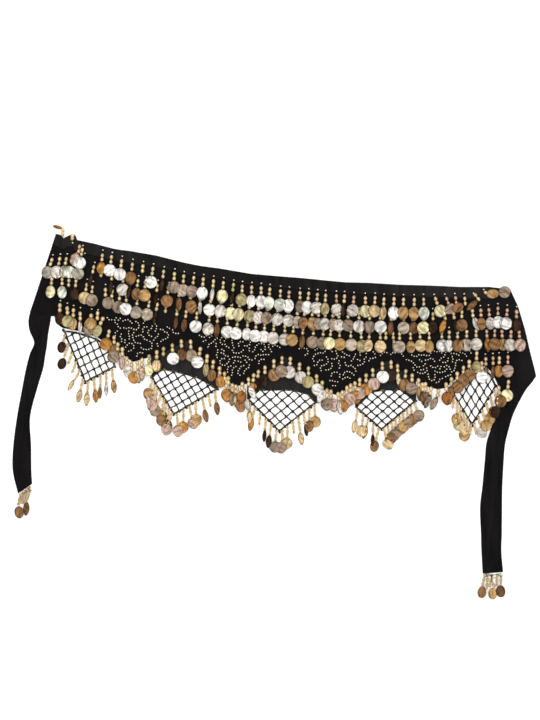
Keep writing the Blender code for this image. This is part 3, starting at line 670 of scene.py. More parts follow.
def black_satin():
    """Woven polyester satin: long floats give a soft grey gloss that changes with the folds,
    in streaks 11 mm wide, as rougher and glossier bands and as a painted sheen that lightens
    and darkens the colour in the same streaks. Its floats lie 0.3 mm apart and are drawn
    1.4 mm apart, so that they show."""
    def build(tree):
        place = add_node(tree, "ShaderNodeTexCoord").outputs["Object"]
        floats = add_node(tree, "ShaderNodeTexWave", {
            "Vector": place, "Scale": math.sqrt(2) * wave_scale(1.4332), "Distortion": 3.0,
            "Detail": 2.0}, bands_direction="DIAGONAL").outputs["Fac"]
        bump = add_node(tree, "ShaderNodeBump", {
            "Strength": 0.35, "Distance": 0.2 * MM, "Height": floats})
        streak = add_node(tree, "ShaderNodeMapping", {
            "Vector": place, "Scale": (patch_scale(11.111), patch_scale(71.43), 1.0)})
        cloud = add_node(tree, "ShaderNodeTexNoise", {
            "Vector": streak, "Scale": 1.0, "Detail": 3.0}).outputs["Fac"]
        gloss = add_node(tree, "ShaderNodeMapRange", {
            "Value": cloud, "From Min": 0.3, "From Max": 0.7, "To Min": 0.36, "To Max": 0.5})
        # Painted sheen: the same streaks lighten and darken the satin's colour.
        depth = add_node(tree, "ShaderNodeMapRange", {
            "Value": cloud, "From Min": 0.35, "From Max": 0.68, "To Min": 0.6, "To Max": 2.0})
        tone = add_node(tree, "ShaderNodeAttribute", attribute_name="tone")
        shade = add_node(tree, "ShaderNodeVectorMath", {
            0: tone.outputs["Color"], "Scale": depth}, operation="SCALE")
        return {"Base Color": shade.outputs[0], "Roughness": gloss.outputs[0],
                "Specular IOR Level": tone.outputs["Alpha"], "Normal": bump.outputs[0]}
    return new_material("black_polyester_satin", {
        "Sheen Weight": 0.01, "Sheen Roughness": 0.35}, build)


def net_cord():
    """Twisted rayon cord with a metallic gold filament: black, with olive glints 4 mm apart
    where the filament comes to the surface. It turns once in 4 mm."""
    def build(tree):
        flat = add_node(tree, "ShaderNodeUVMap")
        twist = add_node(tree, "ShaderNodeMapping", {
            "Vector": flat, "Scale": (1 / 4.0, 1.0, 1.0)})
        plies = add_node(tree, "ShaderNodeTexWave", {
            "Vector": twist, "Scale": TWIST}, bands_direction="DIAGONAL").outputs["Fac"]
        bump = add_node(tree, "ShaderNodeBump", {
            "Strength": 0.8, "Distance": 0.3 * MM, "Height": plies})
        place = add_node(tree, "ShaderNodeTexCoord").outputs["Object"]
        fleck = add_node(tree, "ShaderNodeTexNoise", {
            "Vector": place, "Scale": patch_scale(3.846), "Detail": 1.0}).outputs["Fac"]
        glint = add_node(tree, "ShaderNodeMapRange", {
            "Value": fleck, "From Min": 0.55, "From Max": 0.66})
        tone = add_node(tree, "ShaderNodeAttribute", attribute_name="tone")
        colour = add_node(tree, "ShaderNodeMix", {
            "Factor": glint, "A": tone.outputs["Color"], "B": (*linear("#6e6540"), 1.0)},
            data_type="RGBA")
        return {"Base Color": colour.outputs["Result"], "Normal": bump.outputs[0]}
    return new_material("twisted_rayon_cord", {
        "Roughness": 0.55, "Specular IOR Level": 0.25}, build)


def stamped_coin():
    """Thin stamped brass, plated silver, gold or copper: a bright mirror-like face broken by
    the stamp's rings, 2 mm apart, and its eight petals, and by creases and dents from wear.
    Painted shade and light make its colour darker and lighter over the dents, and painted
    shade darkens its rim. Each coin's face fills one unit square of its flat places, with
    its middle in the middle."""
    def build(tree):
        flat = add_node(tree, "ShaderNodeUVMap")
        local = add_node(tree, "ShaderNodeVectorMath", {0: flat}, operation="FRACTION")
        middle = add_node(tree, "ShaderNodeVectorMath", {
            0: local, 1: (0.5, 0.5, 0.0)}, operation="SUBTRACT")
        reach = add_node(tree, "ShaderNodeVectorMath", {
            0: middle}, operation="LENGTH").outputs["Value"]
        split = add_node(tree, "ShaderNodeSeparateXYZ", {0: middle})
        turn = add_node(tree, "ShaderNodeMath", {
            0: split.outputs["Y"], 1: split.outputs["X"]}, operation="ARCTAN2")
        petals = add_node(tree, "ShaderNodeMath", {0: turn, 1: 8.0}, operation="MULTIPLY")
        petal = add_node(tree, "ShaderNodeMath", {0: petals}, operation="COSINE")
        rings = add_node(tree, "ShaderNodeMath", {
            0: reach, 1: 2 * math.pi * SQUARE / 1.984}, operation="MULTIPLY")
        ring = add_node(tree, "ShaderNodeMath", {0: rings}, operation="SINE")
        stamp = add_node(tree, "ShaderNodeMath", {0: petal, 1: ring}, operation="MULTIPLY")
        crease = add_node(tree, "ShaderNodeTexVoronoi", {
            "Vector": flat, "Scale": SQUARE / 13.636, "Randomness": 1.0},
            feature="DISTANCE_TO_EDGE")
        ridge = add_node(tree, "ShaderNodeMapRange", {
            "Value": crease.outputs["Distance"], "From Max": 0.12, "To Max": 0.9})
        drawn = add_node(tree, "ShaderNodeMapping", {
            "Vector": flat, "Scale": (SQUARE / 5.4545, SQUARE / 16.667, 1.0)})
        dent = add_node(tree, "ShaderNodeTexNoise", {
            "Vector": drawn, "Scale": 1.0, "Detail": 1.5}).outputs["Fac"]
        dented = add_node(tree, "ShaderNodeMath", {
            0: dent, 1: 5.0, 2: ridge}, operation="MULTIPLY_ADD")
        relief = add_node(tree, "ShaderNodeMath", {
            0: stamp, 1: 0.16, 2: dented}, operation="MULTIPLY_ADD")
        bump = add_node(tree, "ShaderNodeBump", {
            "Strength": 0.7, "Distance": 0.5 * MM, "Height": relief})
        # Painted shade and light: the colour goes darker and lighter with the dents that the bump
        # draws.
        painted_dent_shade = add_node(tree, "ShaderNodeMapRange", {
            "Value": dent, "From Min": 0.36, "From Max": 0.6, "To Min": 0.5, "To Max": 1.14})
        # Painted shade: the outer 2 mm of the face is darkened to half, for the dark outline where
        # overlapping coins shade its edge.
        rim = add_node(tree, "ShaderNodeMapRange", {
            "Value": reach, "From Min": 8.1 / SQUARE, "From Max": 10.05 / SQUARE,
            "To Min": 1.0, "To Max": 0.5})
        tone_factor = add_node(tree, "ShaderNodeMath", {0: painted_dent_shade, 1: rim}, operation="MULTIPLY")
        tone = add_node(tree, "ShaderNodeAttribute", attribute_name="tone")
        shade = add_node(tree, "ShaderNodeVectorMath", {
            0: tone.outputs["Color"], "Scale": tone_factor}, operation="SCALE")
        return {"Base Color": shade.outputs[0], "Roughness": tone.outputs["Alpha"],
                "Normal": bump.outputs[0]}
    return new_material("stamped_plated_brass", {"Metallic": 1.0}, build)


def plated_bead():
    """Moulded plastic bead under a thin vacuum-plated film: a soft pale gold shine, duller
    where the film is thin, in patches 2.4 mm wide."""
    def build(tree):
        place = add_node(tree, "ShaderNodeTexCoord").outputs["Object"]
        film = add_node(tree, "ShaderNodeTexNoise", {
            "Vector": place, "Scale": patch_scale(2.381), "Detail": 2.0}).outputs["Fac"]
        dull = add_node(tree, "ShaderNodeMapRange", {
            "Value": film, "To Min": 0.26, "To Max": 0.46})
        tone_factor = add_node(tree, "ShaderNodeMapRange", {
            "Value": film, "From Min": 0.3, "From Max": 0.6, "To Min": 0.75, "To Max": 1.0})
        tone = add_node(tree, "ShaderNodeAttribute", attribute_name="tone")
        shade = add_node(tree, "ShaderNodeVectorMath", {
            0: tone.outputs["Color"], "Scale": tone_factor}, operation="SCALE")
        return {"Base Color": shade.outputs[0], "Roughness": dull.outputs[0]}
    return new_material("vacuum_plated_bead", {"Metallic": 0.6}, build)


def seed_glass():
    """Opaque lustred glass seed beads: small, cream and bright, with one hard highlight, and
    a little unlike from bead to bead."""
    def build(tree):
        place = add_node(tree, "ShaderNodeTexCoord").outputs["Object"]
        lot = add_node(tree, "ShaderNodeTexNoise", {
            "Vector": place, "Scale": patch_scale(6.25)}).outputs["Fac"]
        shift = add_node(tree, "ShaderNodeMapRange", {
            "Value": lot, "From Min": 0.3, "From Max": 0.7, "To Min": 0.85, "To Max": 1.1})
        tone = add_node(tree, "ShaderNodeAttribute", attribute_name="tone")
        shade = add_node(tree, "ShaderNodeVectorMath", {
            0: tone.outputs["Color"], "Scale": shift}, operation="SCALE")
        return {"Base Color": shade.outputs[0]}
    return new_material("lustred_seed_glass", {"Roughness": 0.22, "IOR": 1.52}, build)


def sewing_thread():
    """Spun polyester thread: dull, with a fine twist along it, once in 1 mm."""
    def build(tree):
        flat = add_node(tree, "ShaderNodeUVMap")
        plies = add_node(tree, "ShaderNodeTexWave", {
            "Vector": flat, "Scale": TWIST}, bands_direction="DIAGONAL").outputs["Fac"]
        bump = add_node(tree, "ShaderNodeBump", {
            "Strength": 0.6, "Distance": 0.1 * MM, "Height": plies})
        tone = add_node(tree, "ShaderNodeAttribute", attribute_name="tone")
        return {"Base Color": tone.outputs["Color"], "Normal": bump.outputs[0]}
    return new_material("spun_polyester_thread", {"Roughness": 0.8}, build)


# ---- cloth pieces -----------------------------------------------------------------------
GRID = 3.2               # fineness of the cloth meshes
CASING_GRID = 2.4
FINE_GRID = 2.0          # the arches and the ties
EDGE_RADIUS = 1.1        # turned-in edges of the cloth
EDGE_LOW = 0.45          # height of the cloth's very edge, as a part of its top
SEAM_LAP = 1.4           # how far the arches run in under the panel and over their nets
TIE_LAP = 3.5            # how far the ties run in under the panel's edge
TIE_WIDTH = 27.0
TIE_FOLD = 0.12          # part of a tie's width over which it rises from each folded edge
NEAR_ENDS = (0.3, 1.0)   # extra columns this far from a panel grid's rounded ends
LAST_CUT = 8.0           # length that stands for its last cut's when they are placed
STIFF_CREASE = 0.35      # part of a crease's height that the stiffened panel takes
CASING_CREASE = 0.6
ARCH_CREASE = 0.6
TIE_CREASE = 1.25
PUCKER = 0.16            # height of the casing's puckers, in waves 7 and 27 mm long
PUCKER_WAVES = (0.9, 0.23)
UNDER_ROW = 36.0         # from row c's seam down to where the deeper black begins
DEEP_X = -330.0          # and it begins this far left of the middle
PAINTED_SHEEN_X = 385.0         # right of this, a painted sheen: the pulled panel's tone mixes towards the satin's
#     x from tie to tie: how far the casing's satin tone is scaled, a painted sheen, palest at the
#         right end
CASING_PAINTED_SHEEN = [(-340.0, 1.1), (-120.0, 0.8), (0.0, 0.75), (150.0, 1.0), (340.0, 1.6)]


def edge_rows(length, step):
    """Places 0 to 1 across a piece of that length, with extra rows for its rounded edges."""
    inner = max(2, round((length - 2 * EDGE_RADIUS) / step))
    rows = [0.0, 0.3 * EDGE_RADIUS, EDGE_RADIUS]
    rows += [EDGE_RADIUS + (length - 2 * EDGE_RADIUS) * part / inner for part in range(1, inner)]
    rows += [length - EDGE_RADIUS, length - 0.3 * EDGE_RADIUS, length]
    return np.array(rows) / length


def sewn_down(xs, ys, top):
    """Heights of a piece that falls off at its outer edges, for grids with rows downwards."""
    down = np.hypot(np.diff(xs, axis=0), np.diff(ys, axis=0))
    from_top = np.vstack([np.zeros(xs.shape[1]), np.cumsum(down, axis=0)])
    across = np.hypot(np.diff(xs, axis=1), np.diff(ys, axis=1))
    from_left = np.hstack([np.zeros((xs.shape[0], 1)), np.cumsum(across, axis=1)])
    inward = np.minimum(from_top, from_top[-1] - from_top)
    inward = np.minimum(inward, from_left)
    inward = np.minimum(inward, from_left[:, -1:] - from_left)
    return top * (EDGE_LOW + (1.0 - EDGE_LOW) * rounded(inward, EDGE_RADIUS))


def lying(tops, top):
    """0 along a piece's edges and 1 where it lies free enough to crease."""
    return rounded(np.minimum(tops / top - EDGE_LOW, 0.5), 0.5)


def cut_ends(cuts, places):
    """Waist x, waist y, hem x and hem y of panel cuts at fractional places along them."""
    return [np.interp(places, np.arange(len(cuts)), column) for column in list(zip(*cuts))[1:]]


def casing_cuts():
    """The panel cuts that the casing spans."""
    names = [row[0] for row in PANEL_CUTS]
    return PANEL_CUTS[:names.index("casing_end") + 1]


def cut_grid(cuts, step, depth=None):
    """Grid over panel cuts, from the waist down to the hem or to a depth below the waist."""
    hem = [row[3:] for row in cuts]
    places = steps_along(hem, step)
    span = (Vector(hem[1]) - Vector(hem[0])).length
    places = sorted(set(places + [near / span for near in NEAR_ENDS]
                        + [len(hem) - 1 - near / LAST_CUT for near in NEAR_ENDS]))
    top_x, top_y, hem_x, hem_y = cut_ends(cuts, places)
    lengths = np.hypot(hem_x - top_x, hem_y - top_y)
    share = np.full_like(lengths, 1.0) if depth is None else depth / lengths
    rows = edge_rows(float(np.median(lengths * share)), step)[:, None]
    return top_x + (hem_x - top_x) * share * rows, top_y + (hem_y - top_y) * share * rows


def lay_cloth(node, grid, tops, low, tone, finish, look_slot):
    """A cloth piece in place of its node's solid: a sheet, a closed slab over its grid."""
    xs, ys = grid
    pile = Pile()
    tone = np.broadcast_to(tone, (*xs.shape, 4)).reshape(-1, 4)
    pile.add(*shell(xs, ys, tops, low), np.tile(tone, (2, 1)))
    obj = pile.piece(f"{node}_cloth", [finish], look_slot, node)
    return obj


def make_hip_panel(colours):
    """The panel: deeper black under the lowest long row of coins and at the left end seam,
    and a painted sheen where it is pulled at the right: its tone mixes towards the satin's."""
    xs, ys = grid = cut_grid(PANEL_CUTS, GRID)
    tops = sewn_down(xs, ys, PANEL_TOP)
    relief = (STIFF_CREASE * creased("hip_panel", xs, ys)
              + rippled(xs, ys, seed=3, size=0.35, spacing=60.0))
    tops = tops + lying(tops, PANEL_TOP) * relief
    under_coins = height_on(ROW_SEAMS["c"], xs) - UNDER_ROW
    deep = np.maximum(fade(ys, under_coins, width=-8.0), fade(xs, DEEP_X, width=-25.0))
    # Painted sheen: at the pulled right end, the panel's tone is mixed up to half way towards the
    # lighter satin tone.
    pulled = fade(xs, PAINTED_SHEEN_X, width=24.0, most=0.5)
    tone = np.array(toned(colours.panel))
    tone = tone + (np.array(toned(colours.triangles)) - tone) * deep[..., None]
    tone = tone + (np.array(toned(colours.satin)) - tone) * pulled[..., None]
    return lay_cloth("hip_panel", grid, tops, 0.0, tone, black_crepe(), "panel_cloth")


def make_waist_casing(colours):
    xs, ys = grid = cut_grid(casing_cuts(), CASING_GRID, CASING_DEPTH)
    thick = CASING_TOP - CASING_LOW
    tops = CASING_LOW + sewn_down(xs, ys, thick)
    short, long = PUCKER_WAVES
    relief = (CASING_CREASE * creased("waist_casing", xs, ys)
              + PUCKER * np.sin(xs * short) * np.sin(xs * long + 1.0))
    tops = tops + relief * np.clip(tops - CASING_LOW - EDGE_LOW * thick, 0.0, 1.0)
    # Painted sheen: the casing's tone is made lighter or darker along its length.
    tone = np.array(toned(colours.casing, 0.08)) * height_on(CASING_PAINTED_SHEEN, xs)[..., None]
    lay_cloth("waist_casing", grid, tops, CASING_LOW, tone, black_satin(), "satin")


def make_satin_arch(arch, colours):
    """An arch from just inside the hem down to its lower edge."""
    edge = ARCH_EDGES[arch]
    left, right = edge[0][0], edge[-1][0]
    columns = np.linspace(left, right, max(8, round((right - left) / FINE_GRID)) + 1)
    upper = height_on([row[3:] for row in PANEL_CUTS], columns) + SEAM_LAP
    lower = height_on(edge, columns) - SEAM_LAP
    upper = np.maximum(upper, lower + 0.6)
    rows = np.concatenate([[0.0, 0.02], np.linspace(0.05, 0.95, 24), [0.98, 1.0]])[:, None]
    xs, ys = grid = columns + 0.0 * rows, upper + (lower - upper) * rows
    tops = sewn_down(xs, ys, ARCH_TOP)
    relief = (ARCH_CREASE * creased(f"satin_arch_{arch}", xs, ys)
              + rippled(xs, ys, seed=arch, size=0.3, spacing=40.0))
    tops = tops + lying(tops, ARCH_TOP) * relief
    lay_cloth(f"satin_arch_{arch}", grid, tops, 0.0, toned(colours.satin, 0.12), black_satin(),
              "satin")


def make_tie(tie, colours):
    """A strap folded in two along its length, pulled into long creases."""
    cuts = TIE_CUTS[tie]
    places = steps_along([row[:2] for row in cuts], FINE_GRID)
    left_x, left_y, right_x, right_y = (smooth_at(column, places) for column in zip(*cuts))
    for edge_x, edge_y in ((left_x, left_y), (right_x, right_y)):
        upward = Vector((edge_x[0] - edge_x[1], edge_y[0] - edge_y[1])).normalized() * TIE_LAP
        edge_x[0] += upward.x
        edge_y[0] += upward.y
    across = edge_rows(TIE_WIDTH, 1.5)[None, :]
    xs = left_x[:, None] + (right_x - left_x)[:, None] * across
    ys = left_y[:, None] + (right_y - left_y)[:, None] * across
    free = np.clip(np.minimum(across, 1.0 - across) / TIE_FOLD, 0.0, 1.0)
    tops = (TIE_EDGE + (TIE_TOP - TIE_EDGE) * free) * sewn_down(xs, ys, 1.0)
    relief = (TIE_CREASE * creased(f"tie_{tie}", xs, ys)
              + rippled(xs, ys * 0.3, seed=11, size=0.4, spacing=14.0))
    tops = tops + free * relief
    lay_cloth(f"tie_{tie}", (xs, ys), np.maximum(tops, 0.5), 0.0, toned(colours.tie, 0.05),
              black_satin(), "satin")


# ---- nets -------------------------------------------------------------------------------
CORD_SIDES = 6
CORD_STEP = 1.6          # length of a cord between two bends of its path
MOST_CELLS = 12          # more than any net has, each way
KNOT_SIDES = 8
KNOT_PROFILE = [(-1.0, 0.35), (-0.7, 0.8), (-0.1, 1.0), (0.5, 0.85), (1.0, 0.35)]
KNOT_FLAT = 0.55         # a knot's height, as a part of its width
KNOT_STRAY = 0.5         # how far a knot may lie from its place in the mesh
KNOT_REACH = 3.6         # from a knot's middle to where its cords begin to swell
KNOT_SWELL = 0.75
CORD_SWAY = 0.35         # how far a cord strays sideways, less near its knots
CORD_RISE = 0.25         # and up and down
CORD_LIFTS = (0.15, -0.05)   # of the two ways of cords, so that one crosses over the other
EDGE_CORDS = (0.75, 2.0)     # how far in from a net's edge its two edging cords run
EDGE_CORD = 0.85         # their width, as a part of the others'
SHORTEST_EDGE = 2.0      # sides of the outline below this have no edging cords


def net_parts(net):
    """(outline anticlockwise from the tip, one cell's step to the left, one to the right)."""
    *points, right_x, right_y, right_cells = NETS[net]
    tip, left, left_cells = Vector(points[:2]), Vector(points[2:4]), points[4]
    right = Vector((right_x, right_y))
    if net in NET_TOPS:
        corners = [left] + [Vector(point) for point in NET_TOPS[net]] + [right]
    else:
        corners = [Vector((x, y - 0.3)) for x, y in ARCH_EDGES[net - 1]]
    return [tip] + corners[::-1], (left - tip) / left_cells, (right - tip) / right_cells


def sides_of(outline):
    """The (start, end) of each side of a closed outline."""
    return zip(outline, outline[1:] + outline[:1])


def inside(outline, point):
    """True if a point lies in a closed outline."""
    crossed = False
    for a, b in sides_of(outline):
        if (a[1] > point[1]) != (b[1] > point[1]):
            if point[0] < a[0] + (b[0] - a[0]) * (point[1] - a[1]) / (b[1] - a[1]):
                crossed = not crossed
    return crossed


def crossing(outline, start, step):
    """The furthest number of steps from start at which the line still meets the outline."""
    furthest = 0.0
    for a, b in sides_of(outline):
        side, gap = b - a, a - start
        across = step.x * side.y - step.y * side.x
        if abs(across) < 1e-9:
            continue
        part = (gap.x * step.y - gap.y * step.x) / across
        if -0.001 <= part <= 1.001:
            furthest = max(furthest, (gap.x * side.y - gap.y * side.x) / across)
    return furthest


def add_cord(pile, start, end, knots, half, tone, rng, level=CORD_LEVEL):
    """A cord from start to end that swells into its knots and strays a little between them."""
    run = end - start
    count = max(4, round(run.length / CORD_STEP))
    side = Vector((-run.y, run.x)).normalized()
    phase = rng.uniform(0.0, 6.28)
    path, radii = [], []
    for index in range(count + 1):
        point = start + run * (index / count)
        near = min(((point - knot).length for knot in knots), default=99.0)
        sway = CORD_SWAY * math.sin(0.45 * index + phase) * min(1.0, near / 4.0)
        rise = CORD_RISE * math.sin(0.7 * index + phase)
        path.append((*(point + side * sway), level + rise))
        radii.append(half * (1.0 + KNOT_SWELL * max(0.0, 1.0 - near / KNOT_REACH) ** 1.5))
    points, faces, flat = tube(path, radii, CORD_SIDES)
    pile.add(points, faces, tone, flat)


def add_knot(pile, at, half, tone, rng):
    """A squat body turned to the cords' slant, not quite even."""
    points, faces = turned([(y * half * rng.uniform(0.85, 1.1), radius * half * 0.8)
                            for y, radius in KNOT_PROFILE], KNOT_SIDES)
    points = points * np.array((1.0, 1.0, KNOT_FLAT))
    turn = np.array(Matrix.Rotation(rng.uniform(0.0, math.pi), 3, "Z"))
    flat = np.stack([points[:, 1], points[:, 0]], -1)
    pile.add(points @ turn.T + np.array((at.x, at.y, CORD_LEVEL + 0.1)), faces, tone, flat)


def net_knots(outline, step_left, step_right, rng):
    """Where the cords cross, in the net and on its two lower edges, each a little astray."""
    tip = outline[0]
    middle = Vector((tip.x, outline[2].y))
    knots = []
    for up in range(MOST_CELLS):
        for over in range(MOST_CELLS):
            knot = tip + step_left * up + step_right * over
            on_edge = 0 in (up, over) and inside(outline, knot + (middle - knot) * 0.02)
            if on_edge or inside(outline, knot):
                knots.append(knot + Vector((rng.uniform(-KNOT_STRAY, KNOT_STRAY),
                                            rng.uniform(-KNOT_STRAY, KNOT_STRAY))))
    return knots


def make_net(net, sizes, colours):
    rng = random.Random(100 + net)
    outline, step_left, step_right = net_parts(net)
    half = 0.5 * sizes.cord_width / MM
    tone = toned(colours.cord)
    pile = Pile()
    knots = net_knots(outline, step_left, step_right, rng)
    ways = ((step_left, step_right), (step_right, step_left))
    for (step, across), lift in zip(ways, CORD_LIFTS):
        for line in range(1, MOST_CELLS):
            start = outline[0] + across * line
            near = start + step * 0.1
            if inside(outline, near):
                reach = crossing(outline, near, step) + 0.1
                add_cord(pile, start, start + step * reach, knots, half, tone, rng,
                         CORD_LEVEL + lift)
    for a, b in sides_of(outline):
        if (b - a).length < SHORTEST_EDGE:
            continue
        inward = Vector((-(b - a).y, (b - a).x)).normalized()
        for strand in EDGE_CORDS:
            add_cord(pile, a + inward * strand, b + inward * strand, knots,
                     half * EDGE_CORD, tone, rng)
    for knot in knots:
        add_knot(pile, knot, 0.5 * sizes.knot_width / MM, tone, rng)
    pile.piece(f"net_{net}_cords", [net_cord()], "net_cord", f"net_{net}")


# ---- strings of beads and coins ---------------------------------------------------------
COIN, BEAD, SEED, THREAD = range(4)      # finishes of a string, in the order of its slots
SMALL_PROFILE = [(-0.75, 0.55), (-0.45, 0.95), (0.45, 0.95), (0.75, 0.55)]
BEAD_PROFILE = [(-1.0, 0.28), (-0.82, 0.62), (-0.42, 0.93), (0.0, 1.0), (0.42, 0.93),
                (0.82, 0.62), (1.0, 0.28)]
SMALL_SIDES = 8
BEAD_SIDES = 10
THREAD_SIDES = 5

# A coin's rings from its middle out: part of its radius, and rise of the stamped face in mm.
COIN_RINGS = [(0.0, 0.25), (0.22, 0.22), (0.45, 0.1), (0.66, 0.0), (0.8, 0.0), (0.87, 0.38),
              (0.95, 0.38), (1.0, 0.05)]
COIN_SIDES = 28
COIN_SHEET = 0.45        # thickness of the coins' sheet metal
COIN_DENTS = 3           # waves beaten into each coin
COIN_DISH = 0.9          # how far its rim may lie above or below its middle
COIN_POLISH = (0.24, 0.4)
COIN_SHINE = (0.85, 1.08)    # brightness of a coin's metal, from coin to coin
BEAD_SHINE = (0.8, 1.08)
#   shape  width  point_top point_bottom crinkle  roll  pitch
COIN_SHAPES = {
    "R": (1.00, 0.00, 0.00, 0.35, 2.5, 3.0),
    "O": (0.76, 0.00, 0.00, 0.40, 3.5, 3.0),
    "T": (0.92, 0.00, 0.24, 0.50, 3.0, 3.0),
    "L": (0.52, 0.12, 0.22, 0.40, 7.0, 3.0),
    "E": (0.36, 0.08, 0.08, 0.40, 12.0, 3.0),
    "C": (0.97, 0.00, 0.06, 1.00, 3.5, 4.0),
}

# Down a coin string, in millimetres from part to part.
TO_FIRST_BEAD = 8.3      # from the seam to the first oval bead's middle
TO_SECOND_BEAD = 7.3     # from there to the second's
TO_SMALL_BEAD = 3.7      # from the first bead's middle to the small bead between the two
TO_COIN_HOLE = 6.0       # from the second bead's middle
TO_COIN_EDGE = 3.9       # from the second bead's middle

OVERLAP = math.radians(5.0)      # roll that lets each coin lie over its neighbour
CROWDED = 13.5           # strings closer than this take turns to lie a coin's thickness higher
COIN_LIFT = 1.0
HEM_SWELL = 1.12         # the hem's beads are larger than those of the rows
CHAIN_SWAY = 1.4         # how far each strand of a net string winds out from its middle
CHAIN_PITCH = 1.45       # from bead to bead of a strand, in half widths
LEAF_WIDTH = 18.5        # of a round coin on a net string
LEAF_EDGE = 0.47         # from its chain's end to its middle, as a part of its width
CHAIN_BEND = 0.07        # usual bend of a net string in radians
THREAD_HALF = 0.4        # half width of the thread that shows between beads
SEAM_SPAN = 8.0          # how far to each side of a string its seam's slope is measured
TASSEL_LIFTS = (0.0, 0.5)    # every other strand of a tassel lies higher
TASSEL_COIN_LEVELS = (3.0, 3.8)


def half_of(size):
    """Half of one of the scarf's sizes, in millimetres."""
    return 0.5 * size / MM


def turned_to(points, lean, roll=0.0, pitch=0.0):
    """Points of a part on a string, turned with it: lean in the table's plane from straight
    down, roll about the string and pitch across it, in radians."""
    turn = (Matrix.Rotation(lean, 3, "Z") @ Matrix.Rotation(roll, 3, "Y")
            @ Matrix.Rotation(pitch, 3, "X"))
    return points @ np.array(turn).T


def add_coin(pile, rng, at, lean, roll, diameter, look):
    """One stamped coin, its hole towards the string; at is the coin's middle."""
    width, point_top, point_bottom, crinkle, roll_spread, pitch_spread = COIN_SHAPES[look[0]]
    turns = 2 * math.pi * np.arange(COIN_SIDES) / COIN_SIDES
    cos, sin = np.cos(turns), np.sin(turns)
    edge = 1.0 + point_top * np.maximum(cos, 0) ** 7 + point_bottom * np.maximum(-cos, 0) ** 7
    edge = edge * (1.0 + 0.03 * crinkle * np.sin(3 * turns + rng.uniform(0, 6.28)))
    radius = diameter / 2
    rings = COIN_RINGS + [(1.0, -COIN_SHEET), (0.0, -COIN_SHEET)]
    points = np.array([(radius * part * edge * sin, radius * part * edge * cos,
                        np.full(COIN_SIDES, rise)) for part, rise in rings])
    points = points.transpose(0, 2, 1).reshape(-1, 3)
    stamp_turn = np.array(Matrix.Rotation(rng.uniform(0, 2 * math.pi), 2))
    up, over = divmod(len(pile.points), SQUARES_ACROSS)
    flat = points[:, :2] @ stamp_turn / SQUARE + np.array((over + 0.5, up + 0.5))
    for _ in range(COIN_DENTS):
        turn = rng.uniform(0, math.pi)
        wave = points[:, 0] * math.cos(turn) + points[:, 1] * math.sin(turn)
        wave = wave * rng.uniform(0.3, 0.7)
        points[:, 2] += crinkle * 0.45 * (np.abs(np.sin(wave + rng.uniform(0, 3.1))) - 0.6)
    dish = rng.uniform(-COIN_DISH, COIN_DISH) / radius ** 2
    points[:, 2] += dish * (points[:, 0] ** 2 + points[:, 1] ** 2)
    points[:, 0] *= width
    tilt = roll + math.radians(rng.gauss(0.0, roll_spread))
    pitch = math.radians(rng.gauss(0.0, pitch_spread))
    points = turned_to(points, lean, tilt, pitch) + np.array(at)
    points[:, 2] += max(0.0, ON_TABLE - points[:, 2].min())
    shine = rng.uniform(*COIN_SHINE)
    colour = [min(1.0, part * shine) for part in linear(COIN_TONES[look[1]])]
    tone = toned(colour, rng.uniform(*COIN_POLISH))
    pile.add(points, wall(len(rings), COIN_SIDES), tone, flat, COIN)


def add_body(pile, rng, at, lean, half_wide, half_long, tone, slot, sides, profile):
    points, faces = turned([(y * half_long, radius * half_wide) for y, radius in profile], sides)
    points = turned_to(points, lean, rng.uniform(0, 0.6), rng.gauss(0.0, 0.05))
    pile.add(points + np.array(at), faces, tone, None, slot)


def add_oval_bead(pile, rng, at, lean, half_wide, half_long, tone):
    add_body(pile, rng, at, lean, half_wide, half_long, tone, BEAD, BEAD_SIDES, BEAD_PROFILE)


def add_small_bead(pile, rng, at, lean, half_wide, half_long, tone, slot=BEAD):
    add_body(pile, rng, at, lean, half_wide, half_long, tone, slot, SMALL_SIDES, SMALL_PROFILE)


def bead_tone(letter, rng):
    shine = rng.uniform(*BEAD_SHINE)
    return toned([part * shine for part in linear(BEAD_TONES[letter])], BEAD_POLISH)


def along(root, lean, distance):
    """The point that far down a string of that lean."""
    return (root[0] + math.sin(lean) * distance, root[1] - math.cos(lean) * distance)


def add_thread(pile, path, half, colours):
    points, faces, flat = tube(path, [half] * len(path), THREAD_SIDES)
    pile.add(points, faces, toned(colours.thread, THREAD_POLISH), flat, THREAD)


def add_coin_string(pile, rng, root, hang, base, coin_level, look, roll, sizes, colours,
                    swell=1.0, sewn=True):
    """Two oval beads and a coin, with a seed bead where the string is sewn on. hang is the
    string's lean, its coin's own lean and its length as a part of the usual one."""
    lean, coin_lean, reach = hang
    half_wide = half_of(swell * sizes.bead_width) * rng.uniform(0.93, 1.05)
    half_long = half_of(swell * sizes.bead_length) * rng.uniform(0.94, 1.08)
    seed = half_of(sizes.seed_width)
    swing = math.radians(rng.gauss(0.0, 1.8))
    down = TO_FIRST_BEAD * reach
    first = along(root, lean, down + rng.uniform(-0.5, 0.5))
    second = along(root, lean + swing * 0.5, down + TO_SECOND_BEAD + rng.uniform(-0.4, 0.4))
    if sewn:
        add_small_bead(pile, rng, (*root, base + seed), lean, seed, seed,
                       toned(colours.seeds, SEED_POLISH), SEED)
    for place in (first, second):
        tone = bead_tone(look[2:] or "c", rng)
        add_oval_bead(pile, rng, (*place, base + half_wide), lean + swing, half_wide, half_long,
                      tone)
    between = along(root, lean + swing * 0.5, down + TO_SMALL_BEAD)
    add_small_bead(pile, rng, (*between, base + half_wide), lean, seed * 0.75, seed * 0.7, tone)
    hole = along(second, coin_lean + swing, TO_COIN_HOLE)
    add_thread(pile, [(*root, base + seed), (*first, base + half_wide),
                      (*second, base + half_wide), (*hole, coin_level + 0.8)],
               THREAD_HALF, colours)
    if look[0] == "N":
        return
    coin_lean += swing * 1.5
    middle = along(second, coin_lean, TO_COIN_EDGE + half_of(sizes.coin_width))
    add_coin(pile, rng, (*middle, coin_level + rng.uniform(-0.2, 0.2)), coin_lean, roll,
             2 * half_of(sizes.coin_width), look)


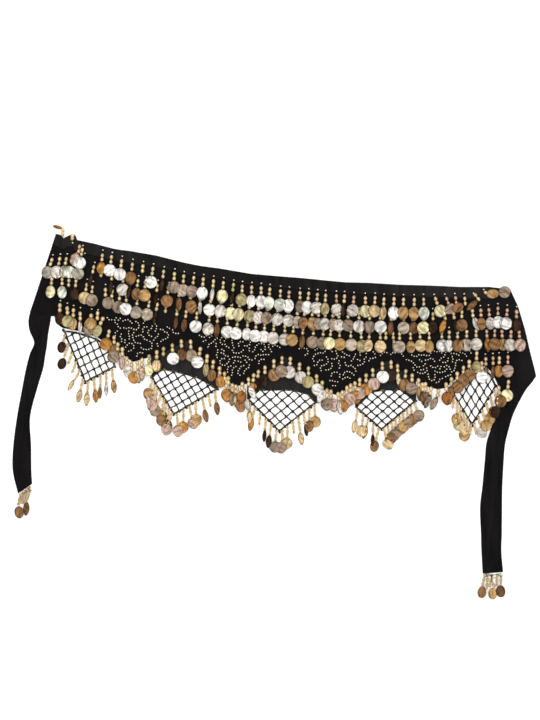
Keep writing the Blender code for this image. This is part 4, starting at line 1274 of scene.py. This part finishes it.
def add_chain(pile, rng, root, lean, length, base, beads, sizes, bend=0.0):
    """A tube of small beads: two strands twisted round each other."""
    half = half_of(sizes.chain_width)
    pitch = half * CHAIN_PITCH
    for index in range(round(length / pitch)):
        here = along(root, lean + bend * index * pitch / length, index * pitch)
        for strand in (0.0, math.pi):
            wind = 0.85 * index + strand
            sway = CHAIN_SWAY * math.cos(wind)
            at = (here[0] + sway * math.cos(lean), here[1] + sway * math.sin(lean),
                  base + half + 0.5 * CHAIN_SWAY * (1.0 + math.sin(wind)))
            add_small_bead(pile, rng, at, lean - 0.6 * math.sin(wind), half * 0.8, half * 1.1,
                           bead_tone(beads, rng))


def add_leaf_string(pile, rng, root, lean, base, coin_level, look, chain, sizes, colours):
    """A tube of small beads with a leaf or coin below it."""
    middle_level = base + half_of(sizes.chain_width)
    bend = rng.gauss(0.0, CHAIN_BEND)
    add_thread(pile, [(*root, middle_level), (*along(root, lean, 2.0), middle_level)], 0.6,
               colours)
    add_chain(pile, rng, along(root, lean, 1.5), lean, chain, base, look[2:] or "c", sizes, bend)
    neck = along(root, lean + bend, chain + 1.5)
    add_thread(pile, [(*along(root, lean + bend, chain - 1.0), middle_level),
                      (*along(neck, lean, 2.0), coin_level + 0.6)], 0.45, colours)
    if look[0] != "N":
        middle = along(neck, lean + bend, LEAF_WIDTH * LEAF_EDGE)
        add_coin(pile, rng, (*middle, coin_level + rng.uniform(-0.2, 0.4)), lean + bend, 0.0,
                 LEAF_WIDTH, look)


def looks_of(text):
    """(place, height or None, look, string's lean, coin's lean, part of the usual length) for
    each string in a table's text; leans in radians, a coin's own like its string's if not given."""
    looks = []
    for item in text.split():
        place, look, *rest = item.split(":")
        place, *height = [float(part) for part in place.split("/")]
        lean, coin_lean, reach = [float(part) for part in rest] + [0.0, None, 1.0][len(rest):]
        coin_lean = lean if coin_lean is None else coin_lean
        looks.append((place, height[0] if height else None, look, math.radians(lean),
                      math.radians(coin_lean), reach))
    return looks


def seam_point(path, x, height):
    """(point, slope angle) on a left-to-right seam, or at its own height off the seam."""
    y = float(height_on(path, x)) if height is None else height
    ahead = float(height_on(path, x + SEAM_SPAN)) - float(height_on(path, x - SEAM_SPAN))
    return (x, y), math.atan2(ahead, 2 * SEAM_SPAN)


def lifts(looks):
    """How far each string's coin lies above the row's usual level."""
    raised = [False]
    for before, here in zip(looks, looks[1:]):
        raised.append(not raised[-1] and here[0] - before[0] < CROWDED)
    return [COIN_LIFT if up else 0.0 for up in raised]


def finish_strings(pile, name, node):
    finishes = [stamped_coin(), plated_bead(), seed_glass(), sewing_thread()]
    pile.piece(name, finishes, "coins_and_beads", node, sharp=38.0)      # keeps rims crisp


def place_on_row(rng, root, slope):
    """Where a string of a row is sewn, and its own lean: half of its seam's slope."""
    root = (root[0], root[1] + rng.uniform(-0.7, 0.7))
    return root, slope * 0.5 + math.radians(rng.gauss(0.0, 1.2))


def place_on_hem(rng, root, slope):
    """Where a string of the hem is sewn, and its own lean: straight down, nearly."""
    return root, math.radians(rng.gauss(-1.0, 1.5))


def hang_strings(name, path, text, place_on, base, coin_level, roll, sizes, colours,
                 swell=1.0, sewn=True):
    """All of a row's or a run's coin strings, from its text."""
    rng = random.Random(name)
    pile = Pile()
    looks = looks_of(text)
    for (place, height, look, lean, coin_lean, reach), lift in zip(looks, lifts(looks)):
        root, own = place_on(rng, *seam_point(path, place, height))
        add_coin_string(pile, rng, root, (own + lean, own + coin_lean, reach), base,
                        coin_level + lift, look, roll, sizes, colours, swell, sewn)
    finish_strings(pile, f"{name}_strings", name)


def make_coin_row(name, seam, base, coin_level, text, sizes, colours):
    hang_strings(name, ROW_SEAMS[seam], text, place_on_row, base, coin_level, OVERLAP, sizes,
                 colours)


def make_hem_fringe(name, start, end, coin_level, text, sizes, colours):
    """One slope of the hem. Only the first run's seed beads show; other runs have none."""
    names = [row[0] for row in HEM_SEAMS]
    path = [row[1:] for row in HEM_SEAMS[names.index(start):names.index(end) + 1]]
    roll = OVERLAP if path[0][1] > path[-1][1] else -OVERLAP
    hang_strings(name, path, text, place_on_hem, ON_PANEL, coin_level, roll, sizes, colours,
                 HEM_SWELL, sewn=start == "net_start")


def make_net_fringe(net, side, lean, level, chain, text, sizes, colours):
    name = f"net_fringe_{net}_{side}"
    rng = random.Random(name)
    pile = Pile()
    row = NETS[net]
    tip = Vector(row[:2])
    start, stop = (Vector(row[2:4]), tip) if side == "left" else (tip, Vector(row[5:7]))
    strings = text.split()
    for index, string in enumerate(strings):
        look, *own_chain = string.split(":")
        root = start.lerp(stop, (index + 0.5) / len(strings))
        own = math.radians(lean * 0.45 + rng.gauss(0.0, 3.0))
        add_leaf_string(pile, rng, tuple(root), own, ON_TABLE, level, look,
                        float(own_chain[0]) if own_chain else chain, sizes, colours)
    finish_strings(pile, f"{name}_strings", name)


def make_corner_strings(side, sizes, colours):
    """Strings that have turned out over one corner of the waist."""
    rng = random.Random(side)
    pile = Pile()
    seed = half_of(sizes.seed_width)
    for string in CORNER_STRINGS[side]:
        for kind, x, y, level, *rest in string:
            at = (x, y, level)
            if kind == "seed":
                add_small_bead(pile, rng, at, 0.0, seed, seed,
                               toned(colours.seeds, SEED_POLISH), SEED)
            elif kind == "bead":
                add_oval_bead(pile, rng, at, math.radians(rest[0]), half_of(sizes.bead_width),
                              half_of(sizes.bead_length), bead_tone("c", rng))
            else:
                lean, width, look = rest
                add_coin(pile, rng, at, math.radians(lean), 0.0, width, look)
        add_thread(pile, [part[1:4] for part in string], THREAD_HALF, colours)
    finish_strings(pile, f"corner_string_{side}_beads", f"corner_string_{side}")


def make_tie_tassel(tie, sizes, colours):
    """Strands of small beads from a tie's end, crossed by black threads, over coins."""
    rng = random.Random(tie)
    pile = Pile()
    strands = [(Vector(row[:2]), Vector(row[2:])) for row in TASSEL_STRANDS[tie]]
    for index, (start, stop) in enumerate(strands):
        run = stop - start
        add_chain(pile, rng, tuple(start), math.atan2(run.x, -run.y), run.length,
                  ON_TABLE + TASSEL_LIFTS[index % 2], "g", sizes)
        across = strands[(index + 1) % len(strands)][0]
        add_thread(pile, [(start.x, start.y + 2.5, 2.2), (*start.lerp(across, 0.5), 4.6),
                          (across.x, across.y - 4.0, 3.6)], 0.5, colours)
    for index, (x, y, lean, width, look) in enumerate(TASSEL_COINS[tie]):
        add_coin(pile, rng, (x, y, TASSEL_COIN_LEVELS[index % 2]), math.radians(lean), 0.0,
                 width, look)
    finish_strings(pile, f"tie_tassel_{tie}_beads", f"tie_tassel_{tie}")


# ---- sewing -----------------------------------------------------------------------------
SEED_LINES = ((4, 500), (2, 700))    # fewest beads in a line, and how many lines are tried
LONGEST_LINES = (4, 11)              # beads in a line if it stays clear of the others
CLEAR = 1.15                         # least space between lines, in steps from bead to bead
WIDE_CLEAR = 1.3                     # and on the curled triangle
SEED_BEND = 0.5                      # radians that a line turns from bead to bead
TURNS_BACK = 0.3                     # how often it begins to bend the other way
STITCH = 3.0                         # from stitch to stitch
STITCH_SPAN = (0.15, 0.8)            # parts of that at which a stitch begins and ends
STITCH_INSET = 2.2                   # from the casing's lower edge up to its stitches


def seed_line(rng, at, heading, longest, step, outline, laid, clear):
    """One meandering line of seed beads, as far as it stays clear of those laid before."""
    bend = rng.choice((-SEED_BEND, SEED_BEND))
    line = []
    for _ in range(longest):
        if not inside(outline, at) or any((at - other).length < clear for other in laid):
            break
        line.append(at)
        heading += bend + rng.uniform(-0.45, 0.45)
        if rng.random() < TURNS_BACK:
            bend = -bend
        at = at + Vector((math.cos(heading), math.sin(heading))) * step
    return line


def make_seed_ground(sizes, colours):
    """Meandering lines of seed beads over the triangles, never crossing."""
    rng = random.Random(41)
    pile = Pile()
    half = half_of(sizes.ground_seed_width)
    step = sizes.ground_seed_pitch / MM
    for triangle, zone in SEED_ZONES.items():
        outline = [Vector(point) for point in zone]
        xs, ys = [p.x for p in outline], [p.y for p in outline]
        clear = step * (WIDE_CLEAR if triangle == CURLED_TRIANGLE else CLEAR)
        laid = []
        for shortest, tries in SEED_LINES:
            for _ in range(tries):
                at = Vector((rng.uniform(min(xs), max(xs)), rng.uniform(min(ys), max(ys))))
                line = seed_line(rng, at, rng.uniform(0.0, 2 * math.pi),
                                 rng.randint(*LONGEST_LINES), step, outline, laid, clear)
                if len(line) >= shortest:
                    laid += line
        for at in laid:
            add_small_bead(pile, rng, (at.x, at.y, PANEL_TOP + half * 0.9), rng.uniform(0, 3.1),
                           half, half, toned(colours.seeds, SEED_POLISH), slot=0)
    pile.piece("seed_bead_ground", [seed_glass()], "coins_and_beads")


def make_stitching(colours):
    """Running stitches that hold the casing."""
    pile = Pile()
    cuts = casing_cuts()
    top_x, top_y, hem_x, hem_y = cut_ends(cuts, np.arange(0.05, len(cuts) - 1.02, 0.11))
    share = (CASING_DEPTH - STITCH_INSET) / np.hypot(hem_x - top_x, hem_y - top_y)
    xs, ys = top_x + (hem_x - top_x) * share, top_y + (hem_y - top_y) * share
    for x0, y0, x1, y1 in zip(xs, ys, xs[1:], ys[1:]):
        start, run = Vector((x0, y0)), Vector((x1 - x0, y1 - y0))
        count = max(1, round(run.length / STITCH))
        for stitch in range(count):
            here, there = (start + run * (stitch + part) / count for part in STITCH_SPAN)
            path = [(*here, CASING_TOP - 0.1), (*((here + there) / 2), CASING_TOP + 0.3),
                    (*there, CASING_TOP - 0.1)]
            points, faces, flat = tube(path, [0.3, 0.36, 0.3], THREAD_SIDES)
            pile.add(points, faces, toned(colours.thread, THREAD_POLISH), flat)
    pile.piece("casing_stitches", [sewing_thread()], "panel_cloth")


# ---- stage ------------------------------------------------------------------------------
CAMERA_AT = (-7.2, 83.2)     # the table point under the camera
CAMERA_HEIGHT = 3.0
VIEW_HEIGHT = 1.152          # metres of the table from the frame's lower edge to its upper edge
DOME_LOW = (0.30, 0.27, 0.24, 1.0)
DOME_HIGH = (1.72, 1.72, 1.74, 1.0)
KEY_AT = (-1.3, 1.5, 2.4)
KEY_WIDTH = 0.9
KEY_POWER = 12.0
FLOOR_HALF = 12.0
FLOOR_DROP = 0.3             # millimetres that the floor lies below the table's zero


def make_camera(scene):
    """A camera straight above, far enough away to show the scarf nearly without perspective."""
    camera = bpy.data.cameras.new("camera")
    camera.sensor_fit = "VERTICAL"
    camera.sensor_height = 24.0
    camera.lens = camera.sensor_height * CAMERA_HEIGHT / VIEW_HEIGHT
    obj = bpy.data.objects.new("camera", camera)
    obj.location = ((CAMERA_AT[0] + SHIFT.x) * MM, (CAMERA_AT[1] + SHIFT.y) * MM, CAMERA_HEIGHT)
    scene.collection.objects.link(obj)
    scene.camera = obj
    scene.view_settings.view_transform = "Standard"


def make_dome(scene):
    """A studio dome: bright overhead, dimmer and warmer towards the horizon, with patches
    for the coins to mirror."""
    world = bpy.data.worlds.new("studio_dome")
    world.use_nodes = True
    tree = world.node_tree
    place = add_node(tree, "ShaderNodeTexCoord").outputs["Generated"]
    height = add_node(tree, "ShaderNodeSeparateXYZ", {0: place}).outputs["Z"]
    rise = add_node(tree, "ShaderNodeMapRange", {
        "Value": height, "From Min": 0.15, "From Max": 0.95}, interpolation_type="SMOOTHSTEP")
    colour = add_node(tree, "ShaderNodeMix", {
        "Factor": rise, "A": DOME_LOW, "B": DOME_HIGH}, data_type="RGBA")
    patch = add_node(tree, "ShaderNodeTexNoise", {"Vector": place, "Scale": 4.0, "Detail": 1.0})
    dim = add_node(tree, "ShaderNodeMapRange", {
        "Value": patch.outputs["Fac"], "From Min": 0.38, "From Max": 0.6, "To Min": 0.45,
        "To Max": 1.25})
    lit = add_node(tree, "ShaderNodeVectorMath", {
        0: colour.outputs["Result"], "Scale": dim}, operation="SCALE")
    tree.links.new(lit.outputs[0], tree.nodes["Background"].inputs["Color"])
    scene.world = world


def make_key_light(scene):
    """A round soft light from the upper left."""
    key = bpy.data.lights.new("key", "AREA")
    key.shape = "DISK"
    key.size = KEY_WIDTH
    key.energy = KEY_POWER
    obj = bpy.data.objects.new("key", key)
    obj.location = KEY_AT
    obj.rotation_euler = (-obj.location).to_track_quat("-Z", "Y").to_euler()
    scene.collection.objects.link(obj)


def make_floor(scene):
    """Backlit white acrylic, large enough to fill any view, with a grain 1.1 mm wide."""
    def build(tree):
        place = add_node(tree, "ShaderNodeTexCoord").outputs["Object"]
        grain = add_node(tree, "ShaderNodeTexNoise", {
            "Vector": place, "Scale": patch_scale(1.111), "Detail": 2.0})
        bump = add_node(tree, "ShaderNodeBump", {
            "Strength": 0.1, "Distance": 0.2 * MM, "Height": grain.outputs["Fac"]})
        return {"Normal": bump.outputs[0]}
    mesh = bpy.data.meshes.new("floor")
    corners = [(-1, -1), (1, -1), (1, 1), (-1, 1)]
    mesh.from_pydata([(x * FLOOR_HALF, y * FLOOR_HALF, 0.0) for x, y in corners], [],
                     [(0, 1, 2, 3)])
    mesh.materials.append(new_material("backlit_white_acrylic", {
        "Emission Color": (1.0, 1.0, 1.0, 1.0), "Emission Strength": 0.32,
        "Base Color": (0.9, 0.9, 0.9, 1.0), "Roughness": 0.95, "Specular IOR Level": 0.1}, build))
    obj = bpy.data.objects.new("floor", mesh)
    obj.location.z = -FLOOR_DROP * MM
    scene.collection.objects.link(obj)


# ---- settings and operators -------------------------------------------------------------
def length_property(name, description, millimetres):
    return FloatProperty(name=name, description=description, default=millimetres * MM,
                         min=0.1 * MM, subtype="DISTANCE", unit="LENGTH", precision=4)


def colour_property(name, description, code):
    return FloatVectorProperty(name=name, description=description, default=linear(code),
                               min=0.0, max=1.0, size=3, subtype="COLOR")


class ScarfSizes(bpy.types.PropertyGroup):
    coin_width: length_property("Coin", "Width of a round coin", 20.0)
    bead_width: length_property("Bead width", "Width of an oval bead on a coin string", 5.9)
    bead_length: length_property("Bead length", "Length of an oval bead on a coin string", 6.9)
    seed_width: length_property("Seed bead", "Width of the bead that sews a string on", 2.6)
    chain_width: length_property("Chain bead", "Width of a bead in a net string", 3.2)
    ground_seed_width: length_property("Ground bead", "Width of a bead on the triangles", 2.3)
    ground_seed_pitch: length_property("Ground pitch", "Space from bead to bead in a line", 4.2)
    cord_width: length_property("Net cord", "Width of the net's cord", 2.0)
    knot_width: length_property("Knot", "Width of a knot in the net", 4.7)


class ScarfColours(bpy.types.PropertyGroup):
    panel: colour_property("Panel", "Crepe of the hip panel", "#100e0f")
    triangles: colour_property("Triangles", "Crepe under the seed beads", "#080506")
    satin: colour_property("Satin", "Satin arches", "#1a1819")
    casing: colour_property("Casing", "Satin casing along the waist", "#141211")
    tie: colour_property("Ties", "Satin of the two ties", "#0d0b0c")
    cord: colour_property("Cord", "Cord of the nets", "#0c0a09")
    seeds: colour_property("Seed beads", "Lustred glass seed beads", "#f7ead0")
    thread: colour_property("Thread", "Sewing thread", "#15110e")


def settings(context):
    """The scene's sizes and colours of the scarf."""
    return context.scene.hip_scarf_sizes, context.scene.hip_scarf_colours


class HIPSCARF_OT_stage(bpy.types.Operator):
    """Camera straight above, soft light all round and a plain pale floor"""
    bl_idname = "hip_scarf.stage"
    bl_label = "Stage"

    def execute(self, context):
        for make in (make_camera, make_dome, make_key_light, make_floor):
            make(context.scene)
        return {"FINISHED"}


class HIPSCARF_OT_nets(bpy.types.Operator):
    """Five knotted nets that hang point down from the hem"""
    bl_idname = "hip_scarf.nets"
    bl_label = "Nets"

    def execute(self, context):
        for net in NETS:
            make_net(net, *settings(context))
        return {"FINISHED"}


class HIPSCARF_OT_coin_rows(bpy.types.Operator):
    """Rows of coin strings sewn on the panel"""
    bl_idname = "hip_scarf.coin_rows"
    bl_label = "Coin rows"

    def execute(self, context):
        for row in ROWS:
            make_coin_row(*row, *settings(context))
        return {"FINISHED"}


class HIPSCARF_OT_hem_fringes(bpy.types.Operator):
    """Coin strings along the hem's triangles"""
    bl_idname = "hip_scarf.hem_fringes"
    bl_label = "Hem fringes"

    def execute(self, context):
        for run in HEM_RUNS:
            make_hem_fringe(*run, *settings(context))
        return {"FINISHED"}


class HIPSCARF_OT_net_fringes(bpy.types.Operator):
    """Leaf strings along the nets' lower edges"""
    bl_idname = "hip_scarf.net_fringes"
    bl_label = "Net fringes"

    def execute(self, context):
        for run in NET_RUNS:
            make_net_fringe(*run, *settings(context))
        return {"FINISHED"}


class HIPSCARF_OT_corner_strings(bpy.types.Operator):
    """Strings turned out over the corners of the waist, and the ties' tassels"""
    bl_idname = "hip_scarf.corner_strings"
    bl_label = "Corner strings and tassels"

    def execute(self, context):
        for side in CORNER_STRINGS:
            make_corner_strings(side, *settings(context))
        for tie in TASSEL_STRANDS:
            make_tie_tassel(tie, *settings(context))
        return {"FINISHED"}


class HIPSCARF_OT_sewing(bpy.types.Operator):
    """Seed beads on the triangles and the casing's stitches"""
    bl_idname = "hip_scarf.sewing"
    bl_label = "Seed beads and stitches"

    def execute(self, context):
        make_seed_ground(*settings(context))
        make_stitching(context.scene.hip_scarf_colours)
        return {"FINISHED"}


class HIPSCARF_OT_cloth(bpy.types.Operator):
    """Hip panel, waist casing, satin arches and ties"""
    bl_idname = "hip_scarf.cloth"
    bl_label = "Cloth"

    def execute(self, context):
        colours = context.scene.hip_scarf_colours
        panel = make_hip_panel(colours)
        make_waist_casing(colours)
        for arch in ARCH_EDGES:
            make_satin_arch(arch, colours)
        for tie in TIE_CUTS:
            make_tie(tie, colours)
        return {"FINISHED"}


OPERATORS = (HIPSCARF_OT_stage, HIPSCARF_OT_nets, HIPSCARF_OT_coin_rows, HIPSCARF_OT_hem_fringes,
             HIPSCARF_OT_net_fringes, HIPSCARF_OT_corner_strings, HIPSCARF_OT_sewing,
             HIPSCARF_OT_cloth)


class HIPSCARF_PT_panel(bpy.types.Panel):
    """Sizes, colours and makers of the hip scarf"""
    bl_idname = "HIPSCARF_PT_panel"
    bl_label = "Hip scarf"
    bl_space_type = "VIEW_3D"
    bl_region_type = "UI"
    bl_category = "Hip scarf"

    def draw(self, context):
        for group in settings(context):
            box = self.layout.box()
            for name in group.__annotations__:
                box.prop(group, name)
        for operator in OPERATORS:
            self.layout.operator(operator.bl_idname)


CLASSES = (ScarfSizes, ScarfColours) + OPERATORS + (HIPSCARF_PT_panel,)


def register():
    for cls in CLASSES:
        bpy.utils.register_class(cls)
    bpy.types.Scene.hip_scarf_sizes = PointerProperty(type=ScarfSizes)
    bpy.types.Scene.hip_scarf_colours = PointerProperty(type=ScarfColours)


def unregister():
    del bpy.types.Scene.hip_scarf_colours
    del bpy.types.Scene.hip_scarf_sizes
    for cls in reversed(CLASSES):
        bpy.utils.unregister_class(cls)


def main():
    register()
    bpy.ops.hip_scarf.stage()
    bpy.ops.hip_scarf.nets()
    bpy.ops.hip_scarf.coin_rows()
    bpy.ops.hip_scarf.hem_fringes()
    bpy.ops.hip_scarf.net_fringes()
    bpy.ops.hip_scarf.corner_strings()
    bpy.ops.hip_scarf.sewing()
    bpy.ops.hip_scarf.cloth()


if __name__ == "__main__":
    main()
